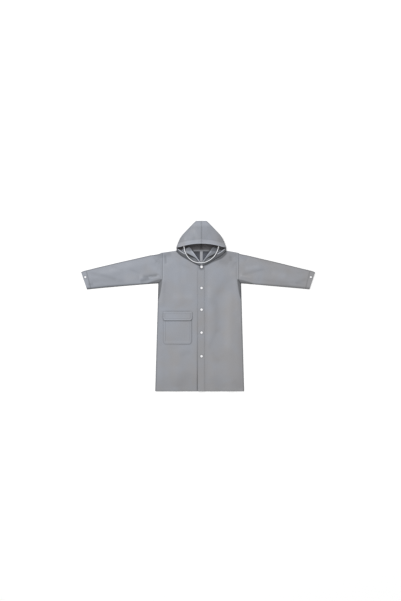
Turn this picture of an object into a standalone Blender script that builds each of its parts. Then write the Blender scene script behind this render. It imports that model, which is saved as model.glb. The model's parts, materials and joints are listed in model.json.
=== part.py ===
"""A long hooded raincoat, laid flat on its back with the front fastened.

The hem points along -Y, the hood along +Y and the coat rests on Z = 0.
Sides are the wearer's, so the right front and sleeve lie at -X.
Every cloth panel is a thin wall about a middle surface that is worked out
in rows of points, and each piece is its own solid.
"""
import math
from collections import namedtuple

import bpy
from mathutils import Vector

# ---------------------------------------------------------------- sizes (m)
CLOTH = 0.0015           # wall of the coat's cloth
TRIM = 0.0012            # wall of pocket, flap, placket and facing
TAPE = 0.0010            # wall of the seam tapes
SEAM = 0.0003            # space between two pieces that touch
ARMHOLE_GAP = 0.0008     # space in the armhole seam, whose edges lean
REST = 0.0006            # middle surface of a rolled edge above the floor

BODY_X = 0.012           # middle of chest and hem
CENTRE_X = 0.024         # centre front, centre back and hood seam
HEM_Y = -0.634
ARMPIT_Y = 0.168
YOKE_Y = 0.197           # where the straight armhole seam begins
SHOULDER_Y = 0.396       # shoulder at the armhole
NECK_Y = 0.413           # back neck seam
HALF_HEM = 0.331
HALF_CHEST = 0.308
HALF_YOKE = 0.289        # armhole seam from the middle of the body
HALF_NECK = 0.190        # side of the neck from the centre

LIE = 0.0042             # middle surface of the upper cloth above the floor
ROLL = 0.0040            # width of a rolled edge on the body
SLEEVE_ROLL = 0.0027     # the same on a sleeve

PLACKET = 0.053          # width of the snap band
OVERLAP = 0.022          # under front beyond the centre
LAP_STEP = CLOTH + SEAM  # what the over front rises on the under front
LAP_END = 0.026          # where it starts to come down again
LAP_FADE = 0.024

SNAP_RADIUS = 0.009
CUFF_SNAP_RADIUS = 0.0075
SNAP_HEIGHT = 0.0026
FRONT_SNAP_Y = (0.291, 0.134, -0.027, -0.198, -0.374)
CUFF_SNAP_X = 0.840
CUFF_SNAP_Y = 0.215

POCKET_LEFT = -0.258
POCKET_RIGHT = -0.048
POCKET_TOP = -0.050
POCKET_BOTTOM = -0.284
POCKET_CORNER = 0.022
POCKET_PUFF = 0.0035
FLAP_LEFT = -0.260
FLAP_RIGHT = -0.045
FLAP_TOP = -0.040
FLAP_BOTTOM = -0.108
FLAP_CORNER = 0.015
FLAP_LIFT = 0.0030       # lower edge of the flap off the pocket

CORD_RADIUS = 0.003
TAPE_WIDTH = 0.020
NECK_TAPE_HALF = 0.110
NECK_TAPE_WIDTH = 0.012
BACK_TAPE_END = 0.282

HOOD_SIDE_Z = 0.006      # height of the hood's widest line
HOOD_SIDE_ROLL = 0.005
HOOD_REST = 0.0009       # middle surface where the side leaves the floor
BRIM_Y = 0.463           # middle of the brim
BRIM_END_Y = 0.432
BRIM_END = 0.180         # its ends, from the centre
WALL_FOOT_Z = 0.0023     # foot of the hood's front wall, over the back
WALL_INSET = 0.0016      # that foot inside the neckline

Neck = namedtuple("Neck", "side y")
NECKLINE = (
    Neck(0.000, 0.299),
    Neck(0.014, 0.300),
    Neck(0.050, 0.316),
    Neck(0.100, 0.345),
    Neck(0.155, 0.378),
    Neck(HALF_NECK, 0.412),
)

Edge = namedtuple("Edge", "top_x top_y low_x low_y")
SLEEVE_RIGHT = (
    Edge(-0.277, 0.3955, -0.295, 0.1698),
    Edge(-0.358, 0.3765, -0.338, 0.1668),
    Edge(-0.480, 0.3488, -0.458, 0.1573),
    Edge(-0.600, 0.3216, -0.578, 0.1472),
    Edge(-0.720, 0.2932, -0.698, 0.1367),
    Edge(-0.850, 0.2612, -0.812, 0.1252),
    Edge(-0.871, 0.2520, -0.827, 0.1235),
)
SLEEVE_LEFT = (
    Edge(0.301, 0.3955, 0.319, 0.1698),
    Edge(0.357, 0.3785, 0.357, 0.1663),
    Edge(0.480, 0.3495, 0.466, 0.1568),
    Edge(0.600, 0.3213, 0.584, 0.1464),
    Edge(0.720, 0.2914, 0.702, 0.1360),
    Edge(0.850, 0.2600, 0.814, 0.1258),
    Edge(0.871, 0.2512, 0.829, 0.1243),
)

# Soft folds of the upper cloth: a ridge from one point to another.
Fold = namedtuple("Fold", "x0 y0 x1 y1 half_width height")
FOLDS = (
    Fold(-0.290, 0.222, -0.430, 0.196, 0.022, 0.0045),
    Fold(-0.300, 0.330, -0.640, 0.262, 0.034, 0.0035),
    Fold(-0.470, 0.190, -0.780, 0.172, 0.030, 0.0035),
    Fold(-0.560, 0.258, -0.800, 0.222, 0.024, 0.0025),
    Fold(0.315, 0.222, 0.450, 0.202, 0.022, 0.0045),
    Fold(0.330, 0.330, 0.660, 0.268, 0.034, 0.0035),
    Fold(0.480, 0.196, 0.790, 0.170, 0.030, 0.0035),
    Fold(-0.262, 0.190, -0.270, 0.010, 0.020, 0.0035),
    Fold(0.286, 0.190, 0.300, -0.060, 0.022, 0.0035),
    Fold(0.120, 0.240, 0.100, -0.300, 0.040, 0.0030),
    Fold(0.215, 0.060, 0.250, -0.630, 0.042, 0.0040),
    Fold(0.110, -0.380, 0.120, -0.640, 0.034, 0.0030),
    Fold(-0.140, -0.340, -0.150, -0.640, 0.040, 0.0035),
    Fold(-0.275, -0.180, -0.282, -0.640, 0.026, 0.0030),
    Fold(-0.140, 0.270, -0.130, 0.020, 0.034, 0.0030),
)

HoodRow = namedtuple("HoodRow", "y half height")
HOOD_ROWS = (
    HoodRow(0.6332, 0.0390, 0.0055),
    HoodRow(0.6318, 0.0408, 0.0085),
    HoodRow(0.6270, 0.0462, 0.0130),
    HoodRow(0.6140, 0.0598, 0.0200),
    HoodRow(0.5890, 0.0842, 0.0300),
    HoodRow(0.5660, 0.1062, 0.0380),
    HoodRow(0.5440, 0.1272, 0.0440),
    HoodRow(0.5210, 0.1468, 0.0490),
    HoodRow(0.4990, 0.1608, 0.0525),
    HoodRow(0.4800, 0.1692, 0.0545),
    HoodRow(BRIM_Y, 0.1762, 0.0555),
    HoodRow(0.4600, 0.1773, 0.0555),
    HoodRow(0.4530, 0.1799, 0.0555),
    HoodRow(0.4430, 0.1832, 0.0550),
    HoodRow(0.4340, 0.1860, 0.0545),
)

# The hood's front wall: its foot follows the neckline at 'foot' from the
# centre, and the fold at its top is the edge of the face opening.
WallRow = namedtuple("WallRow", "foot fold_side fold_y fold_z")
HOOD_WALL = (
    WallRow(0.1840, 0.163, 0.4175, 0.0185),
    WallRow(0.1725, 0.147, 0.4085, 0.0190),
    WallRow(0.1550, 0.128, 0.3990, 0.0195),
    WallRow(0.1275, 0.105, 0.3885, 0.0195),
    WallRow(0.1000, 0.082, 0.3785, 0.0190),
    WallRow(0.0750, 0.060, 0.3690, 0.0180),
    WallRow(0.0500, 0.038, 0.3540, 0.0165),
    WallRow(0.0320, 0.023, 0.3340, 0.0145),
    WallRow(0.0140, 0.009, 0.3130, 0.0125),
)

# The turned facing of the face opening, where it shows below the brim.
FacingRow = namedtuple("FacingRow", "side y z inner_side inner_y inner_z")
FACING = (
    FacingRow(0.149, 0.4065, 0.0210, 0.139, 0.4260, 0.0080),
    FacingRow(0.128, 0.3965, 0.0212, 0.112, 0.4320, 0.0130),
    FacingRow(0.105, 0.3860, 0.0212, 0.085, 0.4360, 0.0215),
    FacingRow(0.083, 0.3765, 0.0207, 0.066, 0.4090, 0.0200),
    FacingRow(0.061, 0.3670, 0.0197, 0.047, 0.3830, 0.0180),
    FacingRow(0.039, 0.3520, 0.0182, 0.030, 0.3585, 0.0165),
    FacingRow(0.023, 0.3310, 0.0162, 0.014, 0.3360, 0.0150),
    FacingRow(0.010, 0.3110, 0.0142, 0.003, 0.3150, 0.0130),
)

# The drawstring's route, from the casing at one side to the other.
CORD_ROUTE = (
    (-0.107, 0.4490, 0.0349),
    (-0.104, 0.4350, 0.0310),
    (-0.100, 0.4130, 0.0262),
    (-0.095, 0.3990, 0.0255),
    (-0.088, 0.3840, 0.0244),
    (-0.078, 0.3685, 0.0212),
    (-0.066, 0.3540, 0.0186),
    (-0.049, 0.3410, 0.0165),
    (-0.032, 0.3310, 0.0159),
    (-0.006, 0.3235, 0.0178),
    (0.009, 0.3222, 0.0194),
    (0.024, 0.3220, 0.0195),
    (0.039, 0.3228, 0.0195),
    (0.053, 0.3260, 0.0183),
    (0.071, 0.3335, 0.0180),
    (0.090, 0.3440, 0.0188),
    (0.105, 0.3555, 0.0201),
    (0.119, 0.3690, 0.0221),
    (0.130, 0.3840, 0.0247),
    (0.138, 0.3985, 0.0253),
    (0.1435, 0.4100, 0.0252),
    (0.147, 0.4200, 0.0263),
    (0.151, 0.4360, 0.0306),
    (0.153, 0.4490, 0.0356),
)
CORD_STEPS = 2           # points read from the curve in each stretch

COAT_GREY = (0.31, 0.32, 0.35)
TAPE_GREY = (0.36, 0.37, 0.40)
WHITE = (0.88, 0.88, 0.89)


# ------------------------------------------------------------ small helpers
def mix(a, b, t):
    return a + (b - a) * t


def smooth(t):
    t = min(max(t, 0.0), 1.0)
    return t * t * (3.0 - 2.0 * t)


def table(rows, key, value, at):
    """Reads one column of a table at a place along another, in order."""
    first = rows[0]
    for second in rows[1:]:
        low, high = sorted((getattr(first, key), getattr(second, key)))
        if low <= at <= high:
            t = (at - getattr(first, key)) / (getattr(second, key) - getattr(first, key))
            return mix(getattr(first, value), getattr(second, value), t)
        first = second
    ends = sorted((rows[0], rows[-1]), key=lambda row: getattr(row, key))
    return getattr(ends[0] if at < getattr(ends[0], key) else ends[1], value)


def rolled(distance, width):
    """Height share of a rolled edge at a distance in from it."""
    t = 1.0 - min(max(distance, 0.0), width) / width
    return math.sqrt(1.0 - t * t)


def spaced(start, end, count):
    return [mix(start, end, i / (count - 1)) for i in range(count)]


def material(name, colour, roughness):
    mat = bpy.data.materials.new(name)
    mat.use_nodes = True
    shader = mat.node_tree.nodes["Principled BSDF"]
    shader.inputs["Base Color"].default_value = (*colour, 1.0)
    shader.inputs["Roughness"].default_value = roughness
    shader.inputs["Metallic"].default_value = 0.0
    return mat


def add_object(name, data, colour, roughness):
    obj = bpy.data.objects.new(name, data)
    obj.data.materials.append(material(name, colour, roughness))
    COLLECTION.objects.link(obj)
    return obj


def cloth(name, rows, wall, colour=COAT_GREY, closed=False, cap=False):
    """A cloth wall on rows of points; a row may lack points, given as None."""
    verts = []
    index = {}
    for r, row in enumerate(rows):
        for c, point in enumerate(row):
            if point is not None:
                index[r, c] = len(verts)
                verts.append(point)
    faces = []
    count = len(rows[0])
    for r in range(len(rows) - 1):
        for c in range(count if closed else count - 1):
            corners = ((r, c), (r, (c + 1) % count), (r + 1, (c + 1) % count), (r + 1, c))
            if all(corner in index for corner in corners):
                faces.append([index[corner] for corner in corners])
    if cap:
        faces.append([index[0, c] for c in reversed(range(count))])
    mesh = bpy.data.meshes.new(name)
    mesh.from_pydata(verts, [], faces)
    mesh.update()
    obj = add_object(name, mesh, colour, 0.6)
    solid = obj.modifiers.new("wall", "SOLIDIFY")
    solid.thickness = wall
    solid.offset = 0.0
    solid.use_even_offset = True
    mesh.shade_smooth()
    return obj


# ------------------------------------------------------------ the upper cloth
def half_body(y):
    if y <= ARMPIT_Y:
        return mix(HALF_HEM, HALF_CHEST, (y - HEM_Y) / (ARMPIT_Y - HEM_Y))
    return mix(HALF_CHEST, HALF_YOKE, min((y - ARMPIT_Y) / (YOKE_Y - ARMPIT_Y), 1.0))


def calm(x, y):
    """0 where trim lies on the cloth and it stays even, 1 well away from it."""
    beside = max(POCKET_LEFT - 0.008 - x, x - POCKET_RIGHT - 0.008, 0.0)
    above = max(y - FLAP_TOP - 0.008, POCKET_BOTTOM - 0.008 - y, 0.0)
    pocket = smooth(math.hypot(beside, above) / 0.030)
    placket = smooth((abs(x - CENTRE_X) - 0.032) / 0.030)
    cuff = smooth((CUFF_SNAP_X - 0.070 - abs(x)) / 0.060)
    neck = smooth((0.385 - y) / 0.060) if abs(x - CENTRE_X) < HALF_NECK + 0.02 else 1.0
    return pocket * placket * cuff * neck


def lie(x, y):
    """Height of the upper cloth's middle surface."""
    height = 0.0
    for fold in FOLDS:
        along = Vector((fold.x1 - fold.x0, fold.y1 - fold.y0))
        offset = Vector((x - fold.x0, y - fold.y0))
        t = offset.dot(along) / along.length_squared
        near = min(max(t, 0.0), 1.0)
        away = (offset - along * near).length
        ends = smooth(min(t, 1.0 - t) / 0.25 + 0.6)
        height += fold.height * ends * math.exp(-(away / fold.half_width) ** 2)
    return LIE + height * calm(x, y)


def lap(x):
    """What the over front rises to clear the under front."""
    return LAP_STEP * (1.0 - smooth((x - CENTRE_X - LAP_END) / LAP_FADE))


def top_of_front(x):
    """Upper end of a front: the shoulder, then the neckline."""
    side = abs(x - CENTRE_X)
    if side >= HALF_NECK:
        armhole = BODY_X + math.copysign(HALF_YOKE, x - BODY_X) - CENTRE_X
        t = (side - HALF_NECK) / (abs(armhole) - HALF_NECK)
        return mix(NECK_Y - 0.001, SHOULDER_Y, t)
    return table(NECKLINE, "side", "y", side)


EDGE_STEPS = (0.0040, 0.0016, 0.0004, 0.0)
ARMPIT_STEP = 0.001      # where the armhole seam parts front and sleeve
SIDE_RISE = SHOULDER_Y - CLOTH / 2 - EDGE_STEPS[0] - HEM_Y
BODY_SHARES = (
    0.0, 0.045, 0.10, 0.16, 0.22, 0.28, 0.34, 0.40, 0.46, 0.52, 0.58, 0.64, 0.70, 0.74,
    (ARMPIT_Y - HEM_Y) / SIDE_RISE, (ARMPIT_Y + ARMPIT_STEP - HEM_Y) / SIDE_RISE,
    (0.181 - HEM_Y) / SIDE_RISE, (YOKE_Y - HEM_Y) / SIDE_RISE,
    0.835, 0.87, 0.905, 0.94, 0.97,
)
ROLL_ANGLES = (90, 62, 32)


def levels(top):
    """Heights of the rows in a column that runs from the hem to its top."""
    foot = top - EDGE_STEPS[0]
    rows = [mix(HEM_Y, foot, share) for share in BODY_SHARES]
    return rows + [top - step for step in EDGE_STEPS]


def front(name, sign, sides):
    """One front, from its side seam at sign X to its edge at the centre."""
    armhole = sign * (BODY_X - CENTRE_X) + HALF_YOKE - ARMHOLE_GAP / 2
    sides = (armhole - ROLL,) + sides
    columns = []
    for place in ROLL_ANGLES + sides:
        rolling = place in ROLL_ANGLES
        side = armhole - ROLL * (1.0 - math.sin(math.radians(place))) if rolling else place
        across = 0.0 if rolling else (sides[0] - side) / (sides[0] - sides[-1])
        top = top_of_front(CENTRE_X + sign * side) - CLOTH / 2
        column = []
        for y in levels(top):
            sewn = smooth((y - ARMPIT_Y) / (YOKE_Y - ARMPIT_Y))
            parted = min(max((y - ARMPIT_Y) / ARMPIT_STEP, 0.0), 1.0)
            gap = ARMHOLE_GAP * (1.5 - sewn) * parted
            side_x = BODY_X + sign * (half_body(y) - gap)
            lean = CLOTH / 2 * math.sqrt(1.0 - sewn * sewn)
            start = side_x - sign * (lean + ROLL)
            x = mix(start, CENTRE_X + sign * sides[-1], across)
            z = lie(x, y) + (lap(x) if sign > 0 else 0.0)
            if rolling:
                angle = math.radians(place)
                x = side_x - sign * (lean + ROLL * (1.0 - math.sin(angle)))
                z = mix(mix(REST, z, sewn), z, math.cos(angle))
            if side > HALF_NECK:
                z = mix(REST, z, rolled(top - y, ROLL))
            column.append((x, y, z))
        columns.append(column)
    rows = [list(row) for row in zip(*columns)]
    return cloth(name, rows if sign < 0 else [row[::-1] for row in rows], CLOTH)


BACK_SIDES = (HALF_NECK + 0.004, HALF_NECK - 0.010, 0.09, SEAM / 2)
BACK_YOKE_Y = 0.187      # below it the front's edge reaches the floor
BACK_SHARES = (0.0, 0.5) + tuple(
    (y - HEM_Y) / (SHOULDER_Y - CLOTH - HEM_Y) for y in (ARMPIT_Y, BACK_YOKE_Y, YOKE_Y)
) + (1.0,)


def back(name, sign):
    """One back panel, flat on the floor, inside the rolled edges."""
    inset = CLOTH + 4 * SEAM
    sides = (sign * (BODY_X - CENTRE_X) + HALF_YOKE,) + BACK_SIDES
    rows = []
    for share in BACK_SHARES:
        row = []
        for side in sides:
            at_neck = side < HALF_NECK
            outer = top_of_front(CENTRE_X + sign * side)
            top = NECK_Y - SEAM / 2 if at_neck else outer - inset
            y = mix(HEM_Y, top, share)
            sewn = smooth((y - BACK_YOKE_Y) / (YOKE_Y - BACK_YOKE_Y))
            side_x = BODY_X + sign * (half_body(y) - mix(inset, ARMHOLE_GAP / 2, sewn))
            inner_x = CENTRE_X + sign * sides[-1]
            across = (sides[0] - side) / (sides[0] - sides[-1])
            row.append((mix(side_x, inner_x, across), y, CLOTH / 2))
        rows.append(row if sign < 0 else row[::-1])
    return cloth(name, rows, CLOTH)


# --------------------------------------------------------------- the sleeves
RING_ANGLES = (90, 50, 15, -25, -60, -90)


def sleeve(name, edges, sign):
    """A flattened tube, open at armhole and cuff."""
    rows = []
    stations = []
    for i, (a, b) in enumerate(zip(edges, edges[1:])):
        parts = (0.0, 0.25, 0.6) if i == 0 else (0.0, 0.5)
        if i == len(edges) - 2:
            parts = (0.0,)
        for t in parts:
            stations.append((i + t, Edge(*(mix(p, q, t) for p, q in zip(a, b)))))
    stations.append((len(edges) - 1, edges[-1]))
    for place, edge in stations:
        low = Vector((edge.low_x, edge.low_y))
        top = Vector((edge.top_x, edge.top_y))
        across = (top - low).normalized()
        width = (top - low).length
        bend = max(0.0, 1.0 - place)
        inset = CLOTH / 2 + SLEEVE_ROLL

        def point(distance, height):
            flat = low + across * distance
            if bend > 0.0:
                seam_x = BODY_X + sign * (half_body(flat.y) + ARMHOLE_GAP / 2)
                flat.x = mix(flat.x, seam_x, bend)
            return (flat.x, flat.y, height)

        def edge_points(at, inward):
            x, y, _ = point(at, 0.0)
            upper = lie(x, y)
            middle = (upper + CLOTH / 2) / 2
            reach = (upper - CLOTH / 2) / 2
            found = []
            for degrees in RING_ANGLES:
                angle = math.radians(degrees)
                out = at - inward * SLEEVE_ROLL * math.cos(angle)
                found.append(point(out, middle + reach * math.sin(angle)))
            return found

        ring = []
        for distance in spaced(inset, width - inset, 12)[1:-1]:
            x, y, _ = point(distance, 0.0)
            ring.append((x, y, lie(x, y)))
        ring += edge_points(width - inset, -1)
        ring += [point(d, CLOTH / 2) for d in spaced(width - inset, inset, 5)[1:-1]]
        ring += edge_points(inset, 1)[::-1]
        rows.append(ring if sign < 0 else ring[::-1])
    return cloth(name, rows, CLOTH, closed=True)


# ------------------------------------------------------------------ the hood
FLOOR_SHARES = (0.0, 0.35, 0.7)
SIDE_ANGLES = (-90, -60, -30)
ARCH_STEPS = 10


def neck_foot(side):
    """A point of the hood wall's foot, just inside the neckline."""
    y = table(NECKLINE, "side", "y", side)
    ahead = table(NECKLINE, "side", "y", side + 0.002)
    normal = Vector((-(ahead - y), 0.002)).normalized()
    return side + normal.x * WALL_INSET, y + normal.y * WALL_INSET


def wall_points(foot, fold):
    """From the foot up and over to the fold, as a quarter of an ellipse."""
    count = len(SIDE_ANGLES) + ARCH_STEPS
    found = []
    for i in range(count):
        angle = math.radians(90.0 * i / (count - 1))
        inward = 1.0 - math.cos(angle)
        found.append((
            mix(foot[0], fold[0], inward),
            mix(foot[1], fold[1], inward),
            mix(foot[2], fold[2], math.sin(angle)),
        ))
    return found


def hood(name, sign):
    """Half of the hood: flat behind, arched in front, open below the brim."""
    rows = []
    for level in HOOD_ROWS:
        brim = 0.0
        if level.y < BRIM_Y:
            brim = BRIM_END * math.sqrt((BRIM_Y - level.y) / (BRIM_Y - BRIM_END_Y))
        half = level.half - CLOTH / 2
        side_z = min(HOOD_SIDE_Z, mix(CLOTH / 2, level.height, 0.5))
        rim = SEAM / 2
        row = [(mix(rim, half - HOOD_SIDE_ROLL, t), level.y, CLOTH / 2) for t in FLOOR_SHARES]
        for degrees in SIDE_ANGLES:
            angle = math.radians(degrees)
            x = half - HOOD_SIDE_ROLL * (1.0 - math.cos(angle))
            row.append((x, level.y, side_z + (side_z - HOOD_REST) * math.sin(angle)))
        end = math.degrees(math.acos(min(max(brim, rim) / half, 0.999)))
        for i in range(ARCH_STEPS):
            angle = math.radians(end * i / (ARCH_STEPS - 1))
            z = side_z + (level.height - side_z) * math.sin(angle)
            row.append((half * math.cos(angle), level.y, z))
        rows.append(row)
    none = [None] * len(FLOOR_SHARES)
    side = HOOD_ROWS[-1].half
    floor = [(mix(SEAM / 2, side - 0.006, t), 0.424, CLOTH / 2) for t in FLOOR_SHARES]
    rows.append(floor + wall_points((side - 0.0022, 0.4245, CLOTH / 2), (0.1735, 0.4255, 0.0180)))
    floor = [(mix(SEAM / 2, side - 0.006, t), NECK_Y + SEAM / 2, CLOTH / 2) for t in FLOOR_SHARES]
    first = HOOD_WALL[0]
    fold = (first.fold_side, first.fold_y, first.fold_z)
    rows.append(floor + wall_points((side - 0.0012, NECK_Y + 0.0035, WALL_FOOT_Z + 0.0003), fold))
    for place in HOOD_WALL[1:]:
        x, y = neck_foot(place.foot)
        fold = (place.fold_side, place.fold_y, place.fold_z)
        rows.append(none + wall_points((x, y, WALL_FOOT_Z), fold))
    placed = []
    for row in rows:
        row = [None if p is None else (CENTRE_X + sign * p[0], p[1], p[2]) for p in row]
        placed.append(row if sign > 0 else row[::-1])
    return cloth(name, placed, CLOTH, cap=True)


def facing(name, sign):
    """The turned strip inside the face opening, beside the neck."""
    rows = []
    for place in FACING:
        row = []
        for t in spaced(0.0, 1.0, 5):
            x = CENTRE_X + sign * mix(place.side, place.inner_side, t)
            y = mix(place.y, place.inner_y, t)
            row.append((x, y, mix(place.z, place.inner_z, t * t)))
        rows.append(row if sign < 0 else row[::-1])
    return cloth(name, rows, TRIM)


# ------------------------------------------------------------------ the trim
def patch(name, left, right, top, bottom, corner, height, across=9, down=9):
    """A panel with two round lower corners; height(x, y) is its middle."""
    rows = []
    levels = spaced(top, bottom + corner, down)
    for degrees in (30, 60, 80):
        levels.append(bottom + corner * (1.0 - math.sin(math.radians(degrees))))
    levels.append(bottom)
    for y in levels:
        drop = max(bottom + corner - y, 0.0)
        inset = corner - math.sqrt(max(corner * corner - drop * drop, 0.0))
        row = [(x, y, height(x, y)) for x in spaced(left + inset, right - inset, across)]
        rows.append(row)
    return cloth(name, rows, TRIM)


def on_cloth(wall):
    """From the upper cloth's middle surface to the middle of what lies on it."""
    return CLOTH / 2 + SEAM + wall / 2


def bag_height(x, y):
    u = (x - POCKET_LEFT) / (POCKET_RIGHT - POCKET_LEFT)
    v = (y - POCKET_BOTTOM) / (POCKET_TOP - POCKET_BOTTOM)
    across = max(4.0 * u * (1.0 - u), 0.0)
    puff = across * smooth(v / 0.4) * mix(1.0, 0.55, smooth((v - 0.5) / 0.5))
    return LIE + on_cloth(TRIM) + POCKET_PUFF * puff + SEAM


def flap_height(x, y):
    down = (FLAP_TOP - y) / (FLAP_TOP - FLAP_BOTTOM)
    over_bag = bag_height(x, min(y, POCKET_TOP)) + TRIM + SEAM
    seat = LIE + on_cloth(TRIM)
    rise = smooth((FLAP_TOP - 0.001 - y) / (FLAP_TOP - POCKET_TOP - 0.002))
    return mix(seat, over_bag, rise) + FLAP_LIFT * down * down


def pocket():
    patch("pocket_bag", POCKET_LEFT, POCKET_RIGHT, POCKET_TOP, POCKET_BOTTOM,
          POCKET_CORNER, bag_height)
    patch("pocket_flap", FLAP_LEFT, FLAP_RIGHT, FLAP_TOP, FLAP_BOTTOM,
          FLAP_CORNER, flap_height, down=12)


def placket():
    left = CENTRE_X - PLACKET / 2 - 0.001
    rows = []
    for share in BODY_SHARES + (1.0,):
        row = []
        for x in spaced(left, left + PLACKET, 6):
            y = mix(HEM_Y, top_of_front(x) - 0.0006, share)
            row.append((x, y, lie(x, y) + lap(x) + on_cloth(TRIM)))
        rows.append(row)
    return cloth("placket", rows, TRIM)


def strip(name, corners_x, corners_y, z):
    rows = [[(x, y, z) for x in corners_x] for y in corners_y]
    return cloth(name, rows, TAPE, colour=TAPE_GREY)


def tapes():
    z = CLOTH + SEAM + TAPE / 2
    low = NECK_Y - NECK_TAPE_WIDTH / 2
    strip("neck_tape", spaced(CENTRE_X - NECK_TAPE_HALF, CENTRE_X + NECK_TAPE_HALF, 3),
          (low, low + NECK_TAPE_WIDTH), z)
    strip("centre_back_tape", (CENTRE_X - TAPE_WIDTH / 2, CENTRE_X + TAPE_WIDTH / 2),
          (BACK_TAPE_END, low - SEAM), z)


# --------------------------------------------------------- snaps and the cord
def snap_mesh(radius):
    """A domed cap, turned about its axis from the crown down to its foot."""
    profile = ((0.0, 1.0), (0.45, 0.97), (0.8, 0.78), (0.97, 0.45), (1.0, 0.0), (0.0, 0.0))
    mesh = bpy.data.meshes.new("snap_profile")
    points = [(radius * r, 0.0, SNAP_HEIGHT * h) for r, h in profile]
    mesh.from_pydata(points, [(i, i + 1) for i in range(len(points) - 1)], [])
    return mesh


def snap(name, radius, x, y, foot):
    obj = add_object(name, snap_mesh(radius), WHITE, 0.35)
    obj.location = (x, y, foot)
    turn = obj.modifiers.new("turn", "SCREW")
    turn.steps = 20
    turn.render_steps = 20
    turn.use_merge_vertices = True
    turn.merge_threshold = 0.00001
    turn.use_smooth_shade = True
    return obj


def snaps():
    on_band = LIE + LAP_STEP + on_cloth(TRIM) + TRIM / 2 + SEAM
    for number, y in enumerate(FRONT_SNAP_Y, start=1):
        snap(f"front_snap_{number}", SNAP_RADIUS, CENTRE_X + 0.002, y, on_band)
    on_cuff = LIE + CLOTH / 2 + SEAM
    snap("cuff_snap_right", CUFF_SNAP_RADIUS, -CUFF_SNAP_X, CUFF_SNAP_Y, on_cuff)
    snap("cuff_snap_left", CUFF_SNAP_RADIUS, CUFF_SNAP_X, CUFF_SNAP_Y, on_cuff)


def curve_point(route, at):
    """A point of the smooth curve through the route's own points."""
    i = min(int(at), len(route) - 2)
    t = at - i
    before = Vector(route[max(i - 1, 0)])
    a = Vector(route[i])
    b = Vector(route[i + 1])
    after = Vector(route[min(i + 2, len(route) - 1)])
    return 0.5 * (
        2.0 * a + (b - before) * t
        + (2.0 * before - 5.0 * a + 4.0 * b - after) * t * t
        + (3.0 * a - before - 3.0 * b + after) * t * t * t
    )


def drawstring():
    count = (len(CORD_ROUTE) - 1) * CORD_STEPS + 1
    data = bpy.data.curves.new("drawstring", "CURVE")
    data.dimensions = "3D"
    spline = data.splines.new("POLY")
    spline.points.add(count - 1)
    for i in range(count):
        spline.points[i].co = (*curve_point(CORD_ROUTE, i / CORD_STEPS), 1.0)
    data.bevel_depth = CORD_RADIUS
    data.bevel_resolution = 2
    data.use_fill_caps = True
    add_object("drawstring", data, WHITE, 0.7)


# ------------------------------------------------------------------ the coat
# Columns of the fronts, by their distance from the centre at the top.
NECK_SIDES = (HALF_NECK + 0.0015, HALF_NECK, 0.1725, 0.155, 0.1275, 0.100, 0.075, 0.050, 0.032)
RIGHT_SIDES = (0.285, 0.270, 0.248, 0.220) + NECK_SIDES + (0.014, 0.0, -0.014, -OVERLAP)
LEFT_SIDES = (0.267, 0.254, 0.236, 0.214) + NECK_SIDES + (0.014, 0.0, -0.014, -PLACKET / 2 - 0.001)


def build():
    back("back_right", -1)
    back("back_left", 1)
    front("front_right", -1, RIGHT_SIDES)
    front("front_left", 1, LEFT_SIDES)
    placket()
    sleeve("sleeve_right", SLEEVE_RIGHT, -1)
    sleeve("sleeve_left", SLEEVE_LEFT, 1)
    hood("hood_right", -1)
    hood("hood_left", 1)
    facing("hood_facing_right", -1)
    facing("hood_facing_left", 1)
    pocket()
    tapes()
    snaps()
    drawstring()


for startup in list(bpy.data.objects):
    bpy.data.objects.remove(startup, do_unlink=True)
COLLECTION = bpy.data.collections.new("long_raincoat")
bpy.context.scene.collection.children.link(COLLECTION)
build()
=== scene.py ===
"""A long hooded raincoat, laid flat and seen from straight above.

Every cloth piece is a thin shell on the form of its CAD solid, drawn in finer
steps, with the creases, turned hems and stitching that the cloth shows.
Painted shade and painted light, held in each mesh's shade attribute, darken
or lighten the cloth's colour in seams, folds, edges and hollows.
Lengths are in metres. Sides are the wearer's, so the right one is at -X.
"""

import functools
import json
import math
from collections import namedtuple

import bmesh
import bpy
import numpy as np
from mathutils import Matrix, Vector

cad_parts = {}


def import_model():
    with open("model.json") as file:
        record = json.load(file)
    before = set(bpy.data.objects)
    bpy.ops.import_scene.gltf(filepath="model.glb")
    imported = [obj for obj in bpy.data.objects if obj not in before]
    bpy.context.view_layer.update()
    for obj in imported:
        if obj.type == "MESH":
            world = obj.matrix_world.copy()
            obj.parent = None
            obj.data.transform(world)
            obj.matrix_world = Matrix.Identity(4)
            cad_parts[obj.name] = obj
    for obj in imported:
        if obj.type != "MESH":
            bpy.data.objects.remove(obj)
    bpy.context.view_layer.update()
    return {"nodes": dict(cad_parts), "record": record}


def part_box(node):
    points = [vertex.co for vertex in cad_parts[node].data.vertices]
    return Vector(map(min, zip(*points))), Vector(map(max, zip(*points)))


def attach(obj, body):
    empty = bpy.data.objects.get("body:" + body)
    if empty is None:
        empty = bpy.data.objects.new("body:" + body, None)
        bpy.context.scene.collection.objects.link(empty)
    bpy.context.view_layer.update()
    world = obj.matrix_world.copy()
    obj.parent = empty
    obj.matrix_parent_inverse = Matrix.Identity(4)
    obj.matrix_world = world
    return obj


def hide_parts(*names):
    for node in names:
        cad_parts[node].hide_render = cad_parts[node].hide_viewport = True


bl_info = {
    "name": "Long raincoat, laid flat",
    "version": (1, 0, 0),
    "blender": (4, 5, 0),
    "location": "3D View > Sidebar > Raincoat",
    "description": "Dresses the raincoat's CAD frame with cloth, stitching, snaps and a drawstring",
    "category": "Object",
}

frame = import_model()
SLOT_COLOURS = {m["slot"]: tuple(m["base_color"]) for m in frame["record"]["materials"]}

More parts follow.
